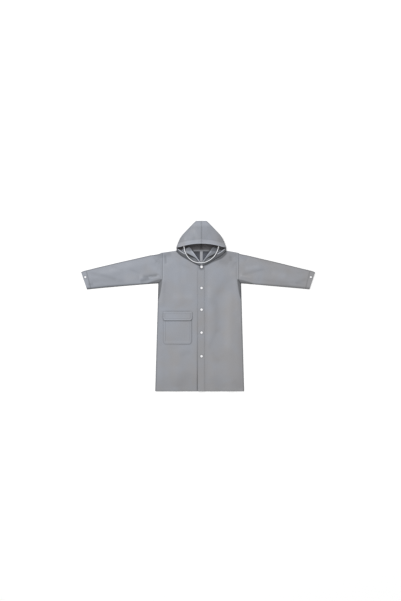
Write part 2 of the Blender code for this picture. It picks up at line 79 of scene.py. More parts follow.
# ---- the body
CLOTH = 0.0015  # wall of the coat's cloth
TRIM = 0.0012  # wall of pocket, flap, snap band and facing
TAPE = 0.001  # wall of the seam tapes
SEAM = 0.0003  # space between two pieces that touch
ARMHOLE_GAP = 0.0002  # between front and sleeve, along the sewn seam
CLOSE = 0.00005  # from a centre seam to the edge sewn into it
REST = 0.0006  # middle surface of a rolled edge above the floor

BODY_X = 0.012  # middle of chest and hem
CENTRE_X = 0.024  # centre front, centre back and hood seam
HEM_Y = -0.634
ARMPIT_Y = 0.168
YOKE_Y = 0.197  # where the straight armhole seam begins
YOKE_STITCH = 0.0105  # topstitching on the fronts, in from the armhole seam
SHOULDER_Y = 0.396
NECK_Y = 0.413
NECK_STITCH = 0.0048  # topstitching below the neckline
HALF_HEM = 0.331
HALF_CHEST = 0.308
HALF_YOKE = 0.289
HALF_NECK = 0.19

LIE = 0.0042  # middle surface of the upper cloth above the floor
CALM_ROUND = 0.008  # the cloth stays even this far beside the pocket
CALM_FADE = 0.03
CUFF_X = 0.84
CUFF_CALM = 0.07  # and this far in from the cuffs
ROLL = 0.004  # width of a rolled edge on the body
SLEEVE_ROLL = 0.0027
ARMPIT_STEP = 0.001  # where the armhole seam parts front and sleeve

PLACKET = 0.053  # width of the snap band
PLACKET_LEFT = CENTRE_X - PLACKET / 2 - 0.001
PLACKET_RIGHT = PLACKET_LEFT + PLACKET
PLACKET_STITCH = 0.0045  # stitched lines, in from the band's edges
OVERLAP = 0.022  # under front beyond the centre
LAP_STEP = CLOTH + SEAM
LAP_END = 0.026
LAP_FADE = 0.024

HEM_TURN = 0.022  # turned-up hem of the body
CUFF_TURN = 0.036  # turned hem of a sleeve
HEM_STITCH = 0.0015  # stitched line, in from the end of a turned hem
HEM_LINE = HEM_Y + HEM_TURN - HEM_STITCH
HEM_RISE = 0.0007  # what a turned hem adds in height
GROOVE = 0.0006  # depth of a stitched line
GROOVE_WIDTH = 0.0022

# ---- the pocket
Patch = namedtuple("Patch", "left right top bottom corner")
BAG = Patch(-0.258, -0.048, -0.05, -0.284, 0.022)
FLAP = Patch(-0.26, -0.045, -0.04, -0.108, 0.02)
POCKET_PUFF = 0.0035
FLAP_LIFT = 0.003
BAG_STITCH = 0.004  # stitched lines, in from the edge
BAG_HEM = 0.017
FLAP_STITCH = 0.0075

# ---- the hood
HOOD_SIDE_Z = 0.006
HOOD_SIDE_ROLL = 0.005
HOOD_REST = 0.0009
BRIM_Y = 0.463
BRIM_END_Y = 0.432
BRIM_END = 0.18
CASING = 0.031  # width of the turned casing along the brim
CASING_STITCH = 0.002  # stitched line, in from the casing's edge
HOOD_STITCH = 0.0058  # stitched line beside the hood's centre seam
WALL_FOOT_Z = 0.0023
WALL_INSET = 0.0016

# ---- tapes and cord
TAPE_WIDTH = 0.02
NECK_TAPE_HALF = 0.11
NECK_TAPE_WIDTH = 0.012
BACK_TAPE_END = 0.282
CORD_DIAMETER = 0.006
CORD_RINGS = 26  # rings of the tube between two points of its route
CORD_SIDES = 24
BRAID_PITCH = 0.011  # length of one turn of a strand
BRAID_STRANDS = 4
FLOOR_Z = -0.0006

RING_STEP = 0.004  # length of a tube's last step, back to its first point
CUFF_STITCHED = slice(2, 52)  # points of a sleeve's ring that the stitched line runs over
STITCH_PITCH = 0.0034
STITCH_LENGTH = 0.0026
THREAD = 0.0006  # thickness of the sewing thread
SIDES = (("right", -1), ("left", 1))

Neck = namedtuple("Neck", "side y")
NECKLINE = [Neck(*row) for row in (
    (0.000, 0.299), (0.014, 0.3), (0.05, 0.316), (0.1, 0.345), (0.155, 0.378), (HALF_NECK, 0.412),
)]

Edge = namedtuple("Edge", "top_x top_y low_x low_y")
SLEEVE_RIGHT = [Edge(*row) for row in (
    (-0.277, 0.3955, -0.295, 0.1698), (-0.358, 0.3765, -0.338, 0.1668), (-0.48, 0.3488, -0.458, 0.1573),
    (-0.6, 0.3216, -0.578, 0.1472), (-0.72, 0.2932, -0.698, 0.1367), (-0.85, 0.2612, -0.812, 0.1252),
    (-0.871, 0.252, -0.827, 0.1235),
)]
SLEEVE_LEFT = [Edge(*row) for row in (
    (0.301, 0.3955, 0.319, 0.1698), (0.357, 0.3785, 0.357, 0.1663), (0.48, 0.3495, 0.466, 0.1568),
    (0.6, 0.3213, 0.584, 0.1464), (0.72, 0.2914, 0.702, 0.136), (0.85, 0.26, 0.814, 0.1258),
    (0.871, 0.2512, 0.829, 0.1243),
)]

HoodRow = namedtuple("HoodRow", "y half height")
HOOD_ROWS = [HoodRow(*row) for row in (
    (0.6332, 0.039, 0.0055), (0.6318, 0.0408, 0.0085), (0.627, 0.0462, 0.013), (0.614, 0.0598, 0.02),
    (0.589, 0.0842, 0.03), (0.566, 0.1062, 0.038), (0.544, 0.1272, 0.044), (0.521, 0.1468, 0.049),
    (0.499, 0.1608, 0.0525), (0.48, 0.1692, 0.0545), (BRIM_Y, 0.1762, 0.0555), (0.46, 0.1773, 0.0555),
    (0.453, 0.1799, 0.0555), (0.443, 0.1832, 0.055), (0.434, 0.186, 0.0545),
)]

# The hood's front wall: its foot follows the neckline at 'foot' from the
# centre, and the fold at its top is the edge of the face opening.
WallRow = namedtuple("WallRow", "foot fold_side fold_y fold_z")
HOOD_WALL = [WallRow(*row) for row in (
    (0.184, 0.163, 0.4175, 0.0185), (0.1725, 0.147, 0.4085, 0.019), (0.155, 0.128, 0.399, 0.0195),
    (0.1275, 0.105, 0.3885, 0.0195), (0.1, 0.082, 0.3785, 0.019), (0.075, 0.06, 0.369, 0.018),
    (0.05, 0.038, 0.354, 0.0165), (0.032, 0.023, 0.334, 0.0145), (0.014, 0.009, 0.313, 0.0125),
)]

FacingRow = namedtuple("FacingRow", "side y z inner_side inner_y inner_z")
FACING = [FacingRow(*row) for row in (
    (0.149, 0.4065, 0.021, 0.139, 0.426, 0.008), (0.128, 0.3965, 0.0212, 0.112, 0.432, 0.013),
    (0.105, 0.386, 0.0212, 0.085, 0.436, 0.0215), (0.083, 0.3765, 0.0207, 0.066, 0.409, 0.02),
    (0.061, 0.367, 0.0197, 0.047, 0.383, 0.018), (0.039, 0.352, 0.0182, 0.03, 0.3585, 0.0165),
    (0.023, 0.331, 0.0162, 0.014, 0.336, 0.015), (0.01, 0.311, 0.0142, 0.003, 0.315, 0.013),
)]

# The drawstring's route, from the casing at one side to the other.
CORD_ROUTE = (
    (-0.107, 0.449, 0.0349),
    (-0.104, 0.435, 0.031),
    (-0.1, 0.413, 0.0262),
    (-0.095, 0.399, 0.0255),
    (-0.088, 0.384, 0.0244),
    (-0.078, 0.3685, 0.0212),
    (-0.066, 0.354, 0.0186),
    (-0.049, 0.341, 0.0165),
    (-0.032, 0.331, 0.0159),
    (-0.006, 0.3235, 0.0178),
    (0.009, 0.3222, 0.0194),
    (0.024, 0.322, 0.0195),
    (0.039, 0.3228, 0.0195),
    (0.053, 0.326, 0.0183),
    (0.071, 0.3335, 0.018),
    (0.09, 0.344, 0.0188),
    (0.105, 0.3555, 0.0201),
    (0.119, 0.369, 0.0221),
    (0.13, 0.384, 0.0247),
    (0.138, 0.3985, 0.0253),
    (0.1435, 0.41, 0.0252),
    (0.147, 0.42, 0.0263),
    (0.151, 0.436, 0.0306),
    (0.153, 0.449, 0.0356),
)

# Soft folds that the solids have too: a ridge from one point to another.
Fold = namedtuple("Fold", "x0 y0 x1 y1 half_width height")
FOLDS = [Fold(*row) for row in (
    (-0.29, 0.222, -0.43, 0.196, 0.022, 0.0045), (-0.3, 0.33, -0.64, 0.262, 0.034, 0.0035),
    (-0.47, 0.19, -0.78, 0.172, 0.03, 0.0035), (-0.56, 0.258, -0.8, 0.222, 0.024, 0.0025),
    (0.315, 0.222, 0.45, 0.202, 0.022, 0.0045), (0.33, 0.33, 0.66, 0.268, 0.034, 0.0035),
    (0.48, 0.196, 0.79, 0.17, 0.03, 0.0035), (-0.262, 0.19, -0.27, 0.01, 0.02, 0.0035),
    (0.286, 0.19, 0.3, -0.06, 0.022, 0.0035), (0.12, 0.24, 0.1, -0.3, 0.04, 0.003),
    (0.215, 0.06, 0.25, -0.63, 0.042, 0.004), (0.11, -0.38, 0.12, -0.64, 0.034, 0.003),
    (-0.14, -0.34, -0.15, -0.64, 0.04, 0.0035), (-0.275, -0.18, -0.282, -0.64, 0.026, 0.003),
    (-0.14, 0.27, -0.13, 0.02, 0.034, 0.003),
)]

# Finer creases, ridges above 0 and troughs below, placed as they show.
CREASES = [Fold(*row) for row in (
    (-0.802, 0.247, -0.612, 0.198, 0.014, -0.0017), (-0.805, 0.186, -0.552, 0.186, 0.022, -0.0022),
    (-0.82, 0.157, -0.783, 0.164, 0.012, -0.003), (-0.511, 0.272, -0.433, 0.241, 0.011, -0.001),
    (-0.425, 0.179, -0.366, 0.205, 0.017, -0.004), (-0.403, 0.218, -0.306, 0.23, 0.013, -0.0048),
    (-0.365, 0.227, -0.288, 0.232, 0.007, -0.0022), (-0.346, 0.2, -0.282, 0.216, 0.006, 0.0013),
    (-0.507, 0.316, -0.548, 0.228, 0.03, 0.0005), (-0.375, 0.286, -0.305, 0.276, 0.02, 0.001),
    (-0.438, 0.204, -0.448, 0.203, 0.018, -0.0013), (-0.292, 0.352, -0.318, 0.316, 0.006, -0.0011),
    (-0.331, 0.362, -0.299, 0.325, 0.007, -0.0014), (-0.64, 0.292, -0.56, 0.262, 0.01, -0.0008),
    (-0.7, 0.158, -0.79, 0.15, 0.008, -0.0008), (0.338, 0.234, 0.491, 0.271, 0.011, -0.0016),
    (0.357, 0.276, 0.454, 0.294, 0.014, 0.0016), (0.322, 0.222, 0.396, 0.214, 0.006, 0.0011),
    (0.556, 0.246, 0.65, 0.224, 0.023, 0.0011), (0.474, 0.194, 0.67, 0.166, 0.018, -0.0013),
    (0.32, 0.372, 0.364, 0.343, 0.02, -0.0014), (0.45, 0.338, 0.56, 0.312, 0.011, -0.0008),
    (0.737, 0.246, 0.789, 0.25, 0.008, -0.0008), (0.732, 0.171, 0.806, 0.201, 0.014, -0.0017),
    (0.69, 0.178, 0.79, 0.16, 0.009, -0.0008), (-0.247, 0.376, -0.239, 0.316, 0.0085, -0.0032),
    (-0.287, 0.387, -0.287, 0.313, 0.01, -0.0014), (-0.314, 0.373, -0.202, 0.391, 0.022, -0.003),
    (0.238, 0.373, 0.245, 0.335, 0.01, -0.0018), (0.271, 0.361, 0.282, 0.328, 0.018, 0.0015),
    (0.284, 0.328, 0.256, 0.284, 0.01, -0.001), (0.223, 0.209, 0.092, 0.01, 0.029, -0.001),
    (0.133, 0.037, 0.148, -0.194, 0.023, -0.001), (0.141, -0.179, 0.081, -0.313, 0.017, -0.001),
    (0.238, 0.097, 0.223, -0.32, 0.03, 0.0015), (0.104, -0.35, 0.156, -0.417, 0.025, -0.0006),
    (0.078, 0.14, 0.082, 0.06, 0.02, 0.001), (-0.06, -0.499, -0.157, -0.611, 0.042, -0.0009),
    (0.104, -0.536, 0.178, -0.626, 0.042, -0.0007), (0.312, -0.142, 0.32, -0.611, 0.017, -0.001),
    (0.268, -0.559, 0.312, -0.611, 0.03, -0.0008), (-0.239, 0.298, -0.157, 0.358, 0.026, 0.0008),
    (-0.105, 0.268, -0.105, 0.164, 0.02, 0.0008), (-0.135, 0.313, -0.06, 0.283, 0.012, -0.0008),
    (-0.187, 0.067, -0.038, 0.067, 0.024, 0.0009), (-0.135, -0.365, -0.053, -0.343, 0.02, -0.0008),
    (0.163, 0.335, 0.223, 0.313, 0.02, -0.0012), (0.238, 0.238, 0.275, 0.246, 0.015, 0.0008),
    (-0.254, 0.097, -0.239, 0.171, 0.015, -0.0005),
)]

# The folds under the arms: the under layer shows dark in a narrow wedge
# between the rolled edge and the lit edge of the folded upper layer. The wedge
# is sunk in the cloth, and its darkness is painted shade.
FOLD_Y = 0.171  # where the folded edge meets the armhole seam
FOLD_SLOPE = 0.088  # and how it falls from there along a sleeve
Wedge = namedtuple("Wedge", "sign body_end body_width sleeve_end sleeve_rise")
WEDGES = (
    Wedge(-1, 0.03, 0.033, 0.396, 0.033),
    Wedge(1, 0.036, 0.032, 0.407, 0.031),
)


# ---- small helpers
def mix(a, b, t):
    return a + (b - a) * t


def smooth(t):
    t = np.clip(t, 0.0, 1.0)
    return t * t * (3.0 - 2.0 * t)


def line_at(distance, half_width):
    """1 on a line, falling to 0 beside it."""
    return np.exp(-(distance / half_width) ** 2)


def deepest(*shades):
    """The darkest of some shades at each point."""
    return functools.reduce(np.maximum, shades)


def rolled(distance, width):
    """Height share of a rolled edge at a distance in from it."""
    t = 1.0 - np.clip(distance, 0.0, width) / width
    return np.sqrt(1.0 - t * t)


def spots(x, y, z):
    """Points from their coordinates, each one a number or an array."""
    return np.stack(np.broadcast_arrays(x, y, z), axis=-1)


def column(rows, name):
    return np.array([getattr(row, name) for row in rows])


def eased(rows, key, value, at):
    """A smooth curve through two columns of a table, with no overshoot."""
    order = np.argsort(column(rows, key))
    xs = column(rows, key)[order]
    ys = column(rows, value)[order]
    step = np.diff(xs)
    rise = np.diff(ys) / step
    slope = np.concatenate([rise[:1], np.zeros(len(xs) - 2), rise[-1:]])
    same = rise[:-1] * rise[1:] > 0.0
    before = 2.0 * step[1:] + step[:-1]
    after = step[1:] + 2.0 * step[:-1]
    safe = np.where(rise == 0.0, 1.0, rise)
    slope[1:-1] = np.where(same, (before + after) / (before / safe[:-1] + after / safe[1:]), 0.0)
    at = np.clip(at, xs[0], xs[-1])
    i = np.clip(np.searchsorted(xs, at) - 1, 0, len(step) - 1)
    t = (at - xs[i]) / step[i]
    return (
        ys[i] * (1.0 + 2.0 * t) * (1.0 - t) ** 2
        + slope[i] * step[i] * t * (1.0 - t) ** 2
        + ys[i + 1] * t * t * (3.0 - 2.0 * t)
        + slope[i + 1] * step[i] * t * t * (t - 1.0)
    )


def through(points, at):
    """Points of the smooth curve through rows of points, at places 0, 1, 2..."""
    points = np.asarray(points, dtype=float)
    last = len(points) - 1
    at = np.asarray(at, dtype=float)
    i = np.clip(at.astype(int), 0, last - 1)
    t = (at - i).reshape((-1,) + (1,) * (points.ndim - 1))
    before = points[np.maximum(i - 1, 0)]
    a = points[i]
    b = points[i + 1]
    after = points[np.minimum(i + 2, last)]
    return 0.5 * (
        2.0 * a + (b - before) * t
        + (2.0 * before - 5.0 * a + 4.0 * b - after) * t * t
        + (3.0 * a - before - 3.0 * b + after) * t * t * t
    )


def run_of(path):
    """The length of a path up to each of its points."""
    steps = np.linalg.norm(np.diff(path, axis=0), axis=1)
    return np.concatenate([[0.0], np.cumsum(steps)])


def spaced_along(path, pitch):
    """Points and directions at an even pitch along a path."""
    lengths = run_of(path)
    at = np.arange(pitch / 2, lengths[-1], pitch)

    def reached(at):
        return spots(*(np.interp(at, lengths, path[:, k]) for k in range(3)))

    along = reached(at + pitch / 4) - reached(at - pitch / 4)
    return reached(at), along / np.linalg.norm(along, axis=1, keepdims=True)


def marked(start, end, count, marks):
    """Even steps with extra ones at the marks."""
    inside = [m for m in marks if min(start, end) < m < max(start, end)]
    return np.unique(np.concatenate([np.linspace(start, end, count), inside]))


def across_path(along):
    """Directions sideways and upwards from those along a path."""
    aside = np.cross((0.0, 0.0, 1.0), along)
    aside /= np.linalg.norm(aside, axis=1, keepdims=True)
    return aside, np.cross(along, aside)


def beside(lines, offsets):
    return [line + offset for line in lines for offset in offsets]


# ---- the upper cloth
def half_body(y):
    skirt = mix(HALF_HEM, HALF_CHEST, (y - HEM_Y) / (ARMPIT_Y - HEM_Y))
    chest = mix(HALF_CHEST, HALF_YOKE, np.minimum((y - ARMPIT_Y) / (YOKE_Y - ARMPIT_Y), 1.0))
    return np.where(y <= ARMPIT_Y, skirt, chest)


def calm(x, y):
    """0 where trim lies on the cloth and it stays even, 1 well away from it."""
    aside = deepest(BAG.left - CALM_ROUND - x, x - BAG.right - CALM_ROUND, 0.0)
    above = deepest(y - FLAP.top - CALM_ROUND, BAG.bottom - CALM_ROUND - y, 0.0)
    pocket = smooth(np.hypot(aside, above) / CALM_FADE)
    placket = smooth((np.abs(x - CENTRE_X) - 0.032) / CALM_FADE)
    cuff = smooth((CUFF_X - CUFF_CALM - np.abs(x)) / (2 * CALM_FADE))
    near_neck = np.abs(x - CENTRE_X) < HALF_NECK + 0.02
    neck = np.where(near_neck, smooth((0.385 - y) / 0.06), 1.0)
    return pocket * placket * cuff * neck


def fold_height(folds, x, y):
    height = np.zeros(np.broadcast(x, y).shape)
    for fold in folds:
        ax, ay = fold.x1 - fold.x0, fold.y1 - fold.y0
        ox, oy = x - fold.x0, y - fold.y0
        t = (ox * ax + oy * ay) / (ax * ax + ay * ay)
        near = np.clip(t, 0.0, 1.0)
        away = np.hypot(ox - ax * near, oy - ay * near)
        ends = smooth(np.minimum(t, 1.0 - t) / 0.25 + 0.6)
        height += fold.height * ends * line_at(away, fold.half_width)
    return height


def crease_shade(x, y):
    """Less light reaches the bottom of a trough, and more a ridge."""
    even = np.where(np.abs(x) > 0.5, 1.0, calm(x, y))
    return np.clip(62.0 * fold_height(CREASES, x, y) * even, -0.45, 0.09)


def underarm(x, y):
    """How far a point lies inside a fold under an arm: 0 outside, 1 well in it."""
    inside = np.zeros(np.broadcast(x, y).shape)
    for wedge in WEDGES:
        outward = wedge.sign * (x - BODY_X)
        edge = half_body(np.minimum(y, ARMPIT_Y))
        up = np.clip((y - wedge.body_end) / (YOKE_Y - wedge.body_end), 0.0, 1.0)
        strip = smooth((outward - (edge - wedge.body_width * np.sqrt(up))) / 0.006)
        strip = strip * smooth((y - wedge.body_end) / 0.03) * smooth((YOKE_Y + 0.003 - y) / 0.004)
        from_seam = outward - HALF_YOKE
        run = np.clip(1.0 - from_seam / (wedge.sleeve_end - HALF_YOKE), 0.0, 1.0)
        fold_y = FOLD_Y - FOLD_SLOPE * np.maximum(from_seam, 0.0) + wedge.sleeve_rise * np.sqrt(run)
        sleeve = smooth((fold_y - y + 0.002) / 0.009) * smooth(run / 0.08)
        part = np.where(outward < half_body(y) + ARMHOLE_GAP, strip, sleeve)
        inside = np.maximum(inside, np.where(outward > 0.2, part, 0.0))
    return inside


def crumple(x, y):
    """Slow unevenness of cloth that has been folded and laid out again."""
    waves = (
        np.sin(11.0 * x + 7.0 * y + 0.8) * np.sin(6.0 * x - 13.0 * y + 1.9)
        + 0.6 * np.sin(23.0 * x - 9.0 * y + 2.4) * np.sin(17.0 * y + 8.0 * x)
        + 0.35 * np.sin(41.0 * x + 29.0 * y) * np.sin(37.0 * y - 19.0 * x + 0.7)
    )
    return 0.0007 * waves


def lie(x, y):
    """Height of the upper cloth's middle surface."""
    height = fold_height(FOLDS, x, y)
    fine = fold_height(CREASES, x, y) + crumple(x, y)
    sunk = underarm(x, y)
    return LIE + calm(x, y) * np.maximum((height + fine) * (1.0 - 0.92 * sunk), -0.0008)


def lap(x):
    """What the over front rises to clear the under front."""
    return LAP_STEP * (1.0 - smooth((x - CENTRE_X - LAP_END) / LAP_FADE))


def hem_rise(distance, turn):
    """Turned cloth at a hem and the stitched line that ends it."""
    band = HEM_RISE * (1.0 - smooth((distance - turn) / 0.0025))
    return band - GROOVE * line_at(distance - turn + HEM_STITCH, GROOVE_WIDTH)


def neckline(side):
    return eased(NECKLINE, "side", "y", side)


def top_of_front(x):
    """Upper end of a front: the shoulder, then the neckline."""
    side = np.abs(x - CENTRE_X)
    armhole = BODY_X + np.copysign(HALF_YOKE, x - BODY_X) - CENTRE_X
    t = (side - HALF_NECK) / (np.abs(armhole) - HALF_NECK)
    shoulder = mix(NECK_Y - 0.001, SHOULDER_Y, t)
    return np.where(side >= HALF_NECK, shoulder, neckline(side))


ROWS = 215  # rows of points up the fronts and the snap band
EDGE_STEPS = (0.004, 0.0028, 0.0016, 0.0008, 0.0002, 0.0)
SIDE_RISE = SHOULDER_Y - CLOTH / 2 - EDGE_STEPS[0] - HEM_Y
HEM_MARKS = (0.004, *(HEM_TURN + step for step in (-0.005, -0.003, -HEM_STITCH, 0.0, 0.002)))
LEVEL_MARKS = [(y - HEM_Y) / SIDE_RISE for y in (
    *(HEM_Y + mark for mark in HEM_MARKS), ARMPIT_Y, ARMPIT_Y + ARMPIT_STEP, YOKE_Y,
)]


def up_to(top, count, marks):
    """Even rows from the hem to the tops of the columns, with extra ones at the marks."""
    shares = marked(0.0, 1.0, count, marks)
    return mix(HEM_Y, top[None, :], shares[:, None])


def levels(top, count=ROWS):
    """Heights of the rows in columns that run from the hem to their tops."""
    rows = up_to(top - EDGE_STEPS[0], count, LEVEL_MARKS)
    steps = top[None, :] - np.array(EDGE_STEPS)[1:, None]
    return np.concatenate([rows, steps])


def pocket_edge(x, y):
    """Distance outside the outline of the pocket with its flap."""
    dx = np.maximum(BAG.left - x, x - BAG.right) + BAG.corner
    dy = np.maximum(BAG.bottom - y, y - FLAP.top) + BAG.corner
    return np.hypot(np.maximum(dx, 0.0), np.maximum(dy, 0.0)) - BAG.corner


def front_shade(x, y, sign):
    """Painted shade in the seams, in the fold under the arm, along the side edge and the hem, beside the snap
    band, round the pocket, near the shoulder and under the hood, painted light beside the yoke stitching, and
    darker towards the hem; 1 where there is none.
    """
    seam = HALF_YOKE - sign * (x - BODY_X)
    sewn = smooth((y - YOKE_Y + 0.01) / 0.02)
    side = np.abs(x - CENTRE_X)
    below_neck = neckline(side) - y
    under_hood = smooth((side - 0.012) / 0.03) * smooth((HALF_NECK + 0.012 - side) / 0.02)
    # Painted shade on the rolled side edge and in the fold under the arm.
    side_edge, in_fold = (0.6, 0.48) if sign < 0 else (0.68, 0.58)
    edge = side_edge * line_at(half_body(y) - sign * (x - BODY_X), 0.0062) * (1.0 - sewn)
    fold = in_fold * underarm(x, y)
    hem = 0.3 * line_at(y - HEM_Y, 0.0045)
    if sign < 0:
        low = np.clip((0.1 - y) / 0.66, 0.0, 1.0)
        dark = deepest(
            hem,
            0.26 * sewn * line_at(seam - YOKE_STITCH, 0.004),
            0.28 * under_hood * (1.0 - smooth((below_neck - 0.001) / 0.007)),
            (0.02 + 0.64 * low * low) * line_at(x - PLACKET_LEFT + 0.0015, 0.004),
            pocket_shadow(x, y),
        )
        lit = 0.12 * sewn * line_at(seam - YOKE_STITCH - 0.0085, 0.0042)
        fade = 0.075
    else:
        reach = mix(0.005, 0.02, smooth((side - 0.06) / 0.12))
        dark = deepest(
            hem,
            0.26 * line_at(seam, 0.0034) * sewn,
            0.14 * line_at(seam - 0.0157, 0.0036) * sewn,
            0.62 * under_hood * (1.0 - smooth((below_neck - reach) / 0.009)),
            0.13 * smooth((y - 0.28) / 0.08) * smooth((side - 0.08) / 0.08),
        )
        lit = 0.05 * sewn * line_at(seam - 0.008, 0.004)
        fade = 0.045
    # Darker towards the hem.
    dark = dark + fade * smooth((-0.46 - y) / 0.13)
    return (1.0 - dark + lit) * (1.0 - edge) * (1.0 - fold) * (1.0 + crease_shade(x, y))


def pocket_shadow(x, y):
    """The line round the pocket, deeper below it and on the side away from the light."""
    right = smooth((x - BAG.left - 0.02) / (BAG.right - BAG.left - 0.03))
    low = smooth((BAG.bottom + 0.03 - y) / 0.03)
    beside_flap = smooth((y - FLAP.bottom) / 0.006)
    share = deepest(mix(0.14, 0.38, right), 0.14 * low, 0.34 * beside_flap)
    return share * line_at(np.abs(pocket_edge(x, y)), 0.0034)


def front_points(sign, last_side):
    """One front, from its side seam at sign X to its edge at the centre."""
    armhole = sign * (BODY_X - CENTRE_X) + HALF_YOKE - ARMHOLE_GAP / 2
    first = armhole - ROLL
    angles = np.radians((90, 72, 54, 36, 18))
    marks = beside((armhole - YOKE_STITCH,), (-0.003, -0.0015, 0.0, 0.0015, 0.003))
    marks += [row.side for row in NECKLINE] + [HALF_NECK + 0.0015]
    band = PLACKET_LEFT if sign < 0 else PLACKET_RIGHT
    marks += list(sign * (band - CENTRE_X) + np.linspace(-0.012, 0.012, 9))
    if sign < 0:
        marks += beside((CENTRE_X - BAG.left, CENTRE_X - BAG.right), (-0.006, -0.003, 0.0, 0.003, 0.006))
    flat = marked(last_side, first, 74, marks)[::-1]
    side = np.concatenate([armhole - ROLL * (1.0 - np.sin(angles)), flat])
    across = np.concatenate([np.zeros(len(angles)), (first - flat) / (first - last_side)])
    raised = np.concatenate([np.cos(angles), np.ones(len(flat))])
    inward = np.concatenate([ROLL * (1.0 - np.sin(angles)), np.full(len(flat), ROLL)])
    top = top_of_front(CENTRE_X + sign * side) - CLOTH / 2
    y = levels(top)
    sewn = smooth((y - ARMPIT_Y) / (YOKE_Y - ARMPIT_Y))
    parted = np.clip((y - ARMPIT_Y) / ARMPIT_STEP, 0.0, 1.0)
    side_x = BODY_X + sign * (half_body(y) - ARMHOLE_GAP * (1.5 - sewn) * parted)
    lean = CLOTH / 2 * np.sqrt(1.0 - sewn * sewn)
    x = mix(side_x - sign * (lean + inward), CENTRE_X + sign * last_side, across)
    seam = armhole - side
    ridge = 0.0007 * smooth(seam / 0.003) * (1.0 - smooth((seam - YOKE_STITCH - 0.001) / 0.002))
    z = lie(x, y) + hem_rise(y - HEM_Y, HEM_TURN) + sewn * ridge
    z = z - GROOVE * sewn * line_at(seam - YOKE_STITCH, GROOVE_WIDTH)
    if sign > 0:
        z = z + lap(x)
    z = mix(mix(REST, z, sewn), z, raised)
    rolling = np.where(side > HALF_NECK, rolled(top - y, ROLL), 1.0)
    z = mix(REST, z, rolling)
    return spots(x, y, z)


def back_points(sign):
    """One back panel, flat on the floor, inside the rolled edges."""
    yoke = 0.187
    inset = CLOTH + 4 * SEAM
    first = sign * (BODY_X - CENTRE_X) + HALF_YOKE
    side = np.concatenate([[first], marked(CLOSE, HALF_NECK + 0.004, 34, (HALF_NECK - 0.01,))[::-1]])
    outer = top_of_front(CENTRE_X + sign * side)
    top = np.where(side < HALF_NECK, NECK_Y - SEAM / 2, outer - inset)
    rise = SHOULDER_Y - CLOTH - HEM_Y
    y = up_to(top, 110, [(y - HEM_Y) / rise for y in (ARMPIT_Y, yoke, YOKE_Y)])
    sewn = smooth((y - yoke) / (YOKE_Y - yoke))
    side_x = BODY_X + sign * (half_body(y) - mix(inset, ARMHOLE_GAP / 2, sewn))
    across = (first - side) / (first - CLOSE)
    x = mix(side_x, CENTRE_X + sign * CLOSE, across[None, :])
    return spots(x, y, CLOTH / 2)


def back_shade(points, sign):
    """Painted shade inside the neck, below the hood and on the side that its edge shades."""
    y = points[..., 1]
    under_hood = smooth((y - 0.375) / 0.035)
    inside = (0.6 if sign < 0 else 0.9) * (1.08 - 0.62 * under_hood)
    return mix(1.0, inside, smooth((y - 0.26) / 0.03))


def placket_points():
    offsets = (-0.006, -0.0045, -0.003, -0.0015, 0.0015, 0.003, 0.0045, 0.006)
    x = marked(PLACKET_LEFT, PLACKET_RIGHT, 17, beside((PLACKET_LEFT, PLACKET_RIGHT), offsets))
    top = top_of_front(x) - TRIM / 2
    y = up_to(top, ROWS, LEVEL_MARKS)
    x = np.broadcast_to(x, y.shape)
    edge = np.minimum(x - PLACKET_LEFT, PLACKET_RIGHT - x)
    z = lie(x, y) + lap(x) + on_cloth(TRIM) + hem_rise(y - HEM_Y, HEM_TURN) + 0.0002
    z = z + 0.0006 * smooth(edge / 0.004) - GROOVE * line_at(edge - PLACKET_STITCH, GROOVE_WIDTH)
    return spots(x, y, z)


def placket_shade(x, y):
    """Painted shade at the edges, at the hem, round the caps and where the cloth gathers at the first one."""
    edge = np.minimum(x - PLACKET_LEFT, PLACKET_RIGHT - x)
    low = smooth((0.1 - y) / 0.5)
    gathered = 1.0 - smooth((from_cap("front_snap_1", x, y) - 0.002) / 0.022)
    return 0.97 - deepest(
        0.04 * line_at(edge - PLACKET_STITCH, 0.0024),
        mix(0.04, 0.15, low) * line_at(edge, 0.0018),
        0.3 * line_at(y - HEM_Y, 0.004),
        0.3 * beside_snaps("front_snap", x, y),
        0.52 * gathered,
    )


def from_cap(name, x, y):
    """How far a point lies outside a snap cap's rim."""
    low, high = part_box(name)
    return np.hypot(x - (low.x + high.x) / 2, y - (low.y + high.y) / 2) - (high.x - low.x) / 2


def beside_snaps(kind, x, y):
    """1 in a ring round each snap cap of a kind, where painted shade goes."""
    made = np.zeros(x.shape)
    for name in frame["nodes"]:
        if name.startswith(kind):
            made = np.maximum(made, line_at(from_cap(name, x, y) - 0.002, 0.0035))
    return made


def on_cloth(wall):
    """From the upper cloth's middle surface to the middle of what lies on it."""
    return CLOTH / 2 + SEAM + wall / 2


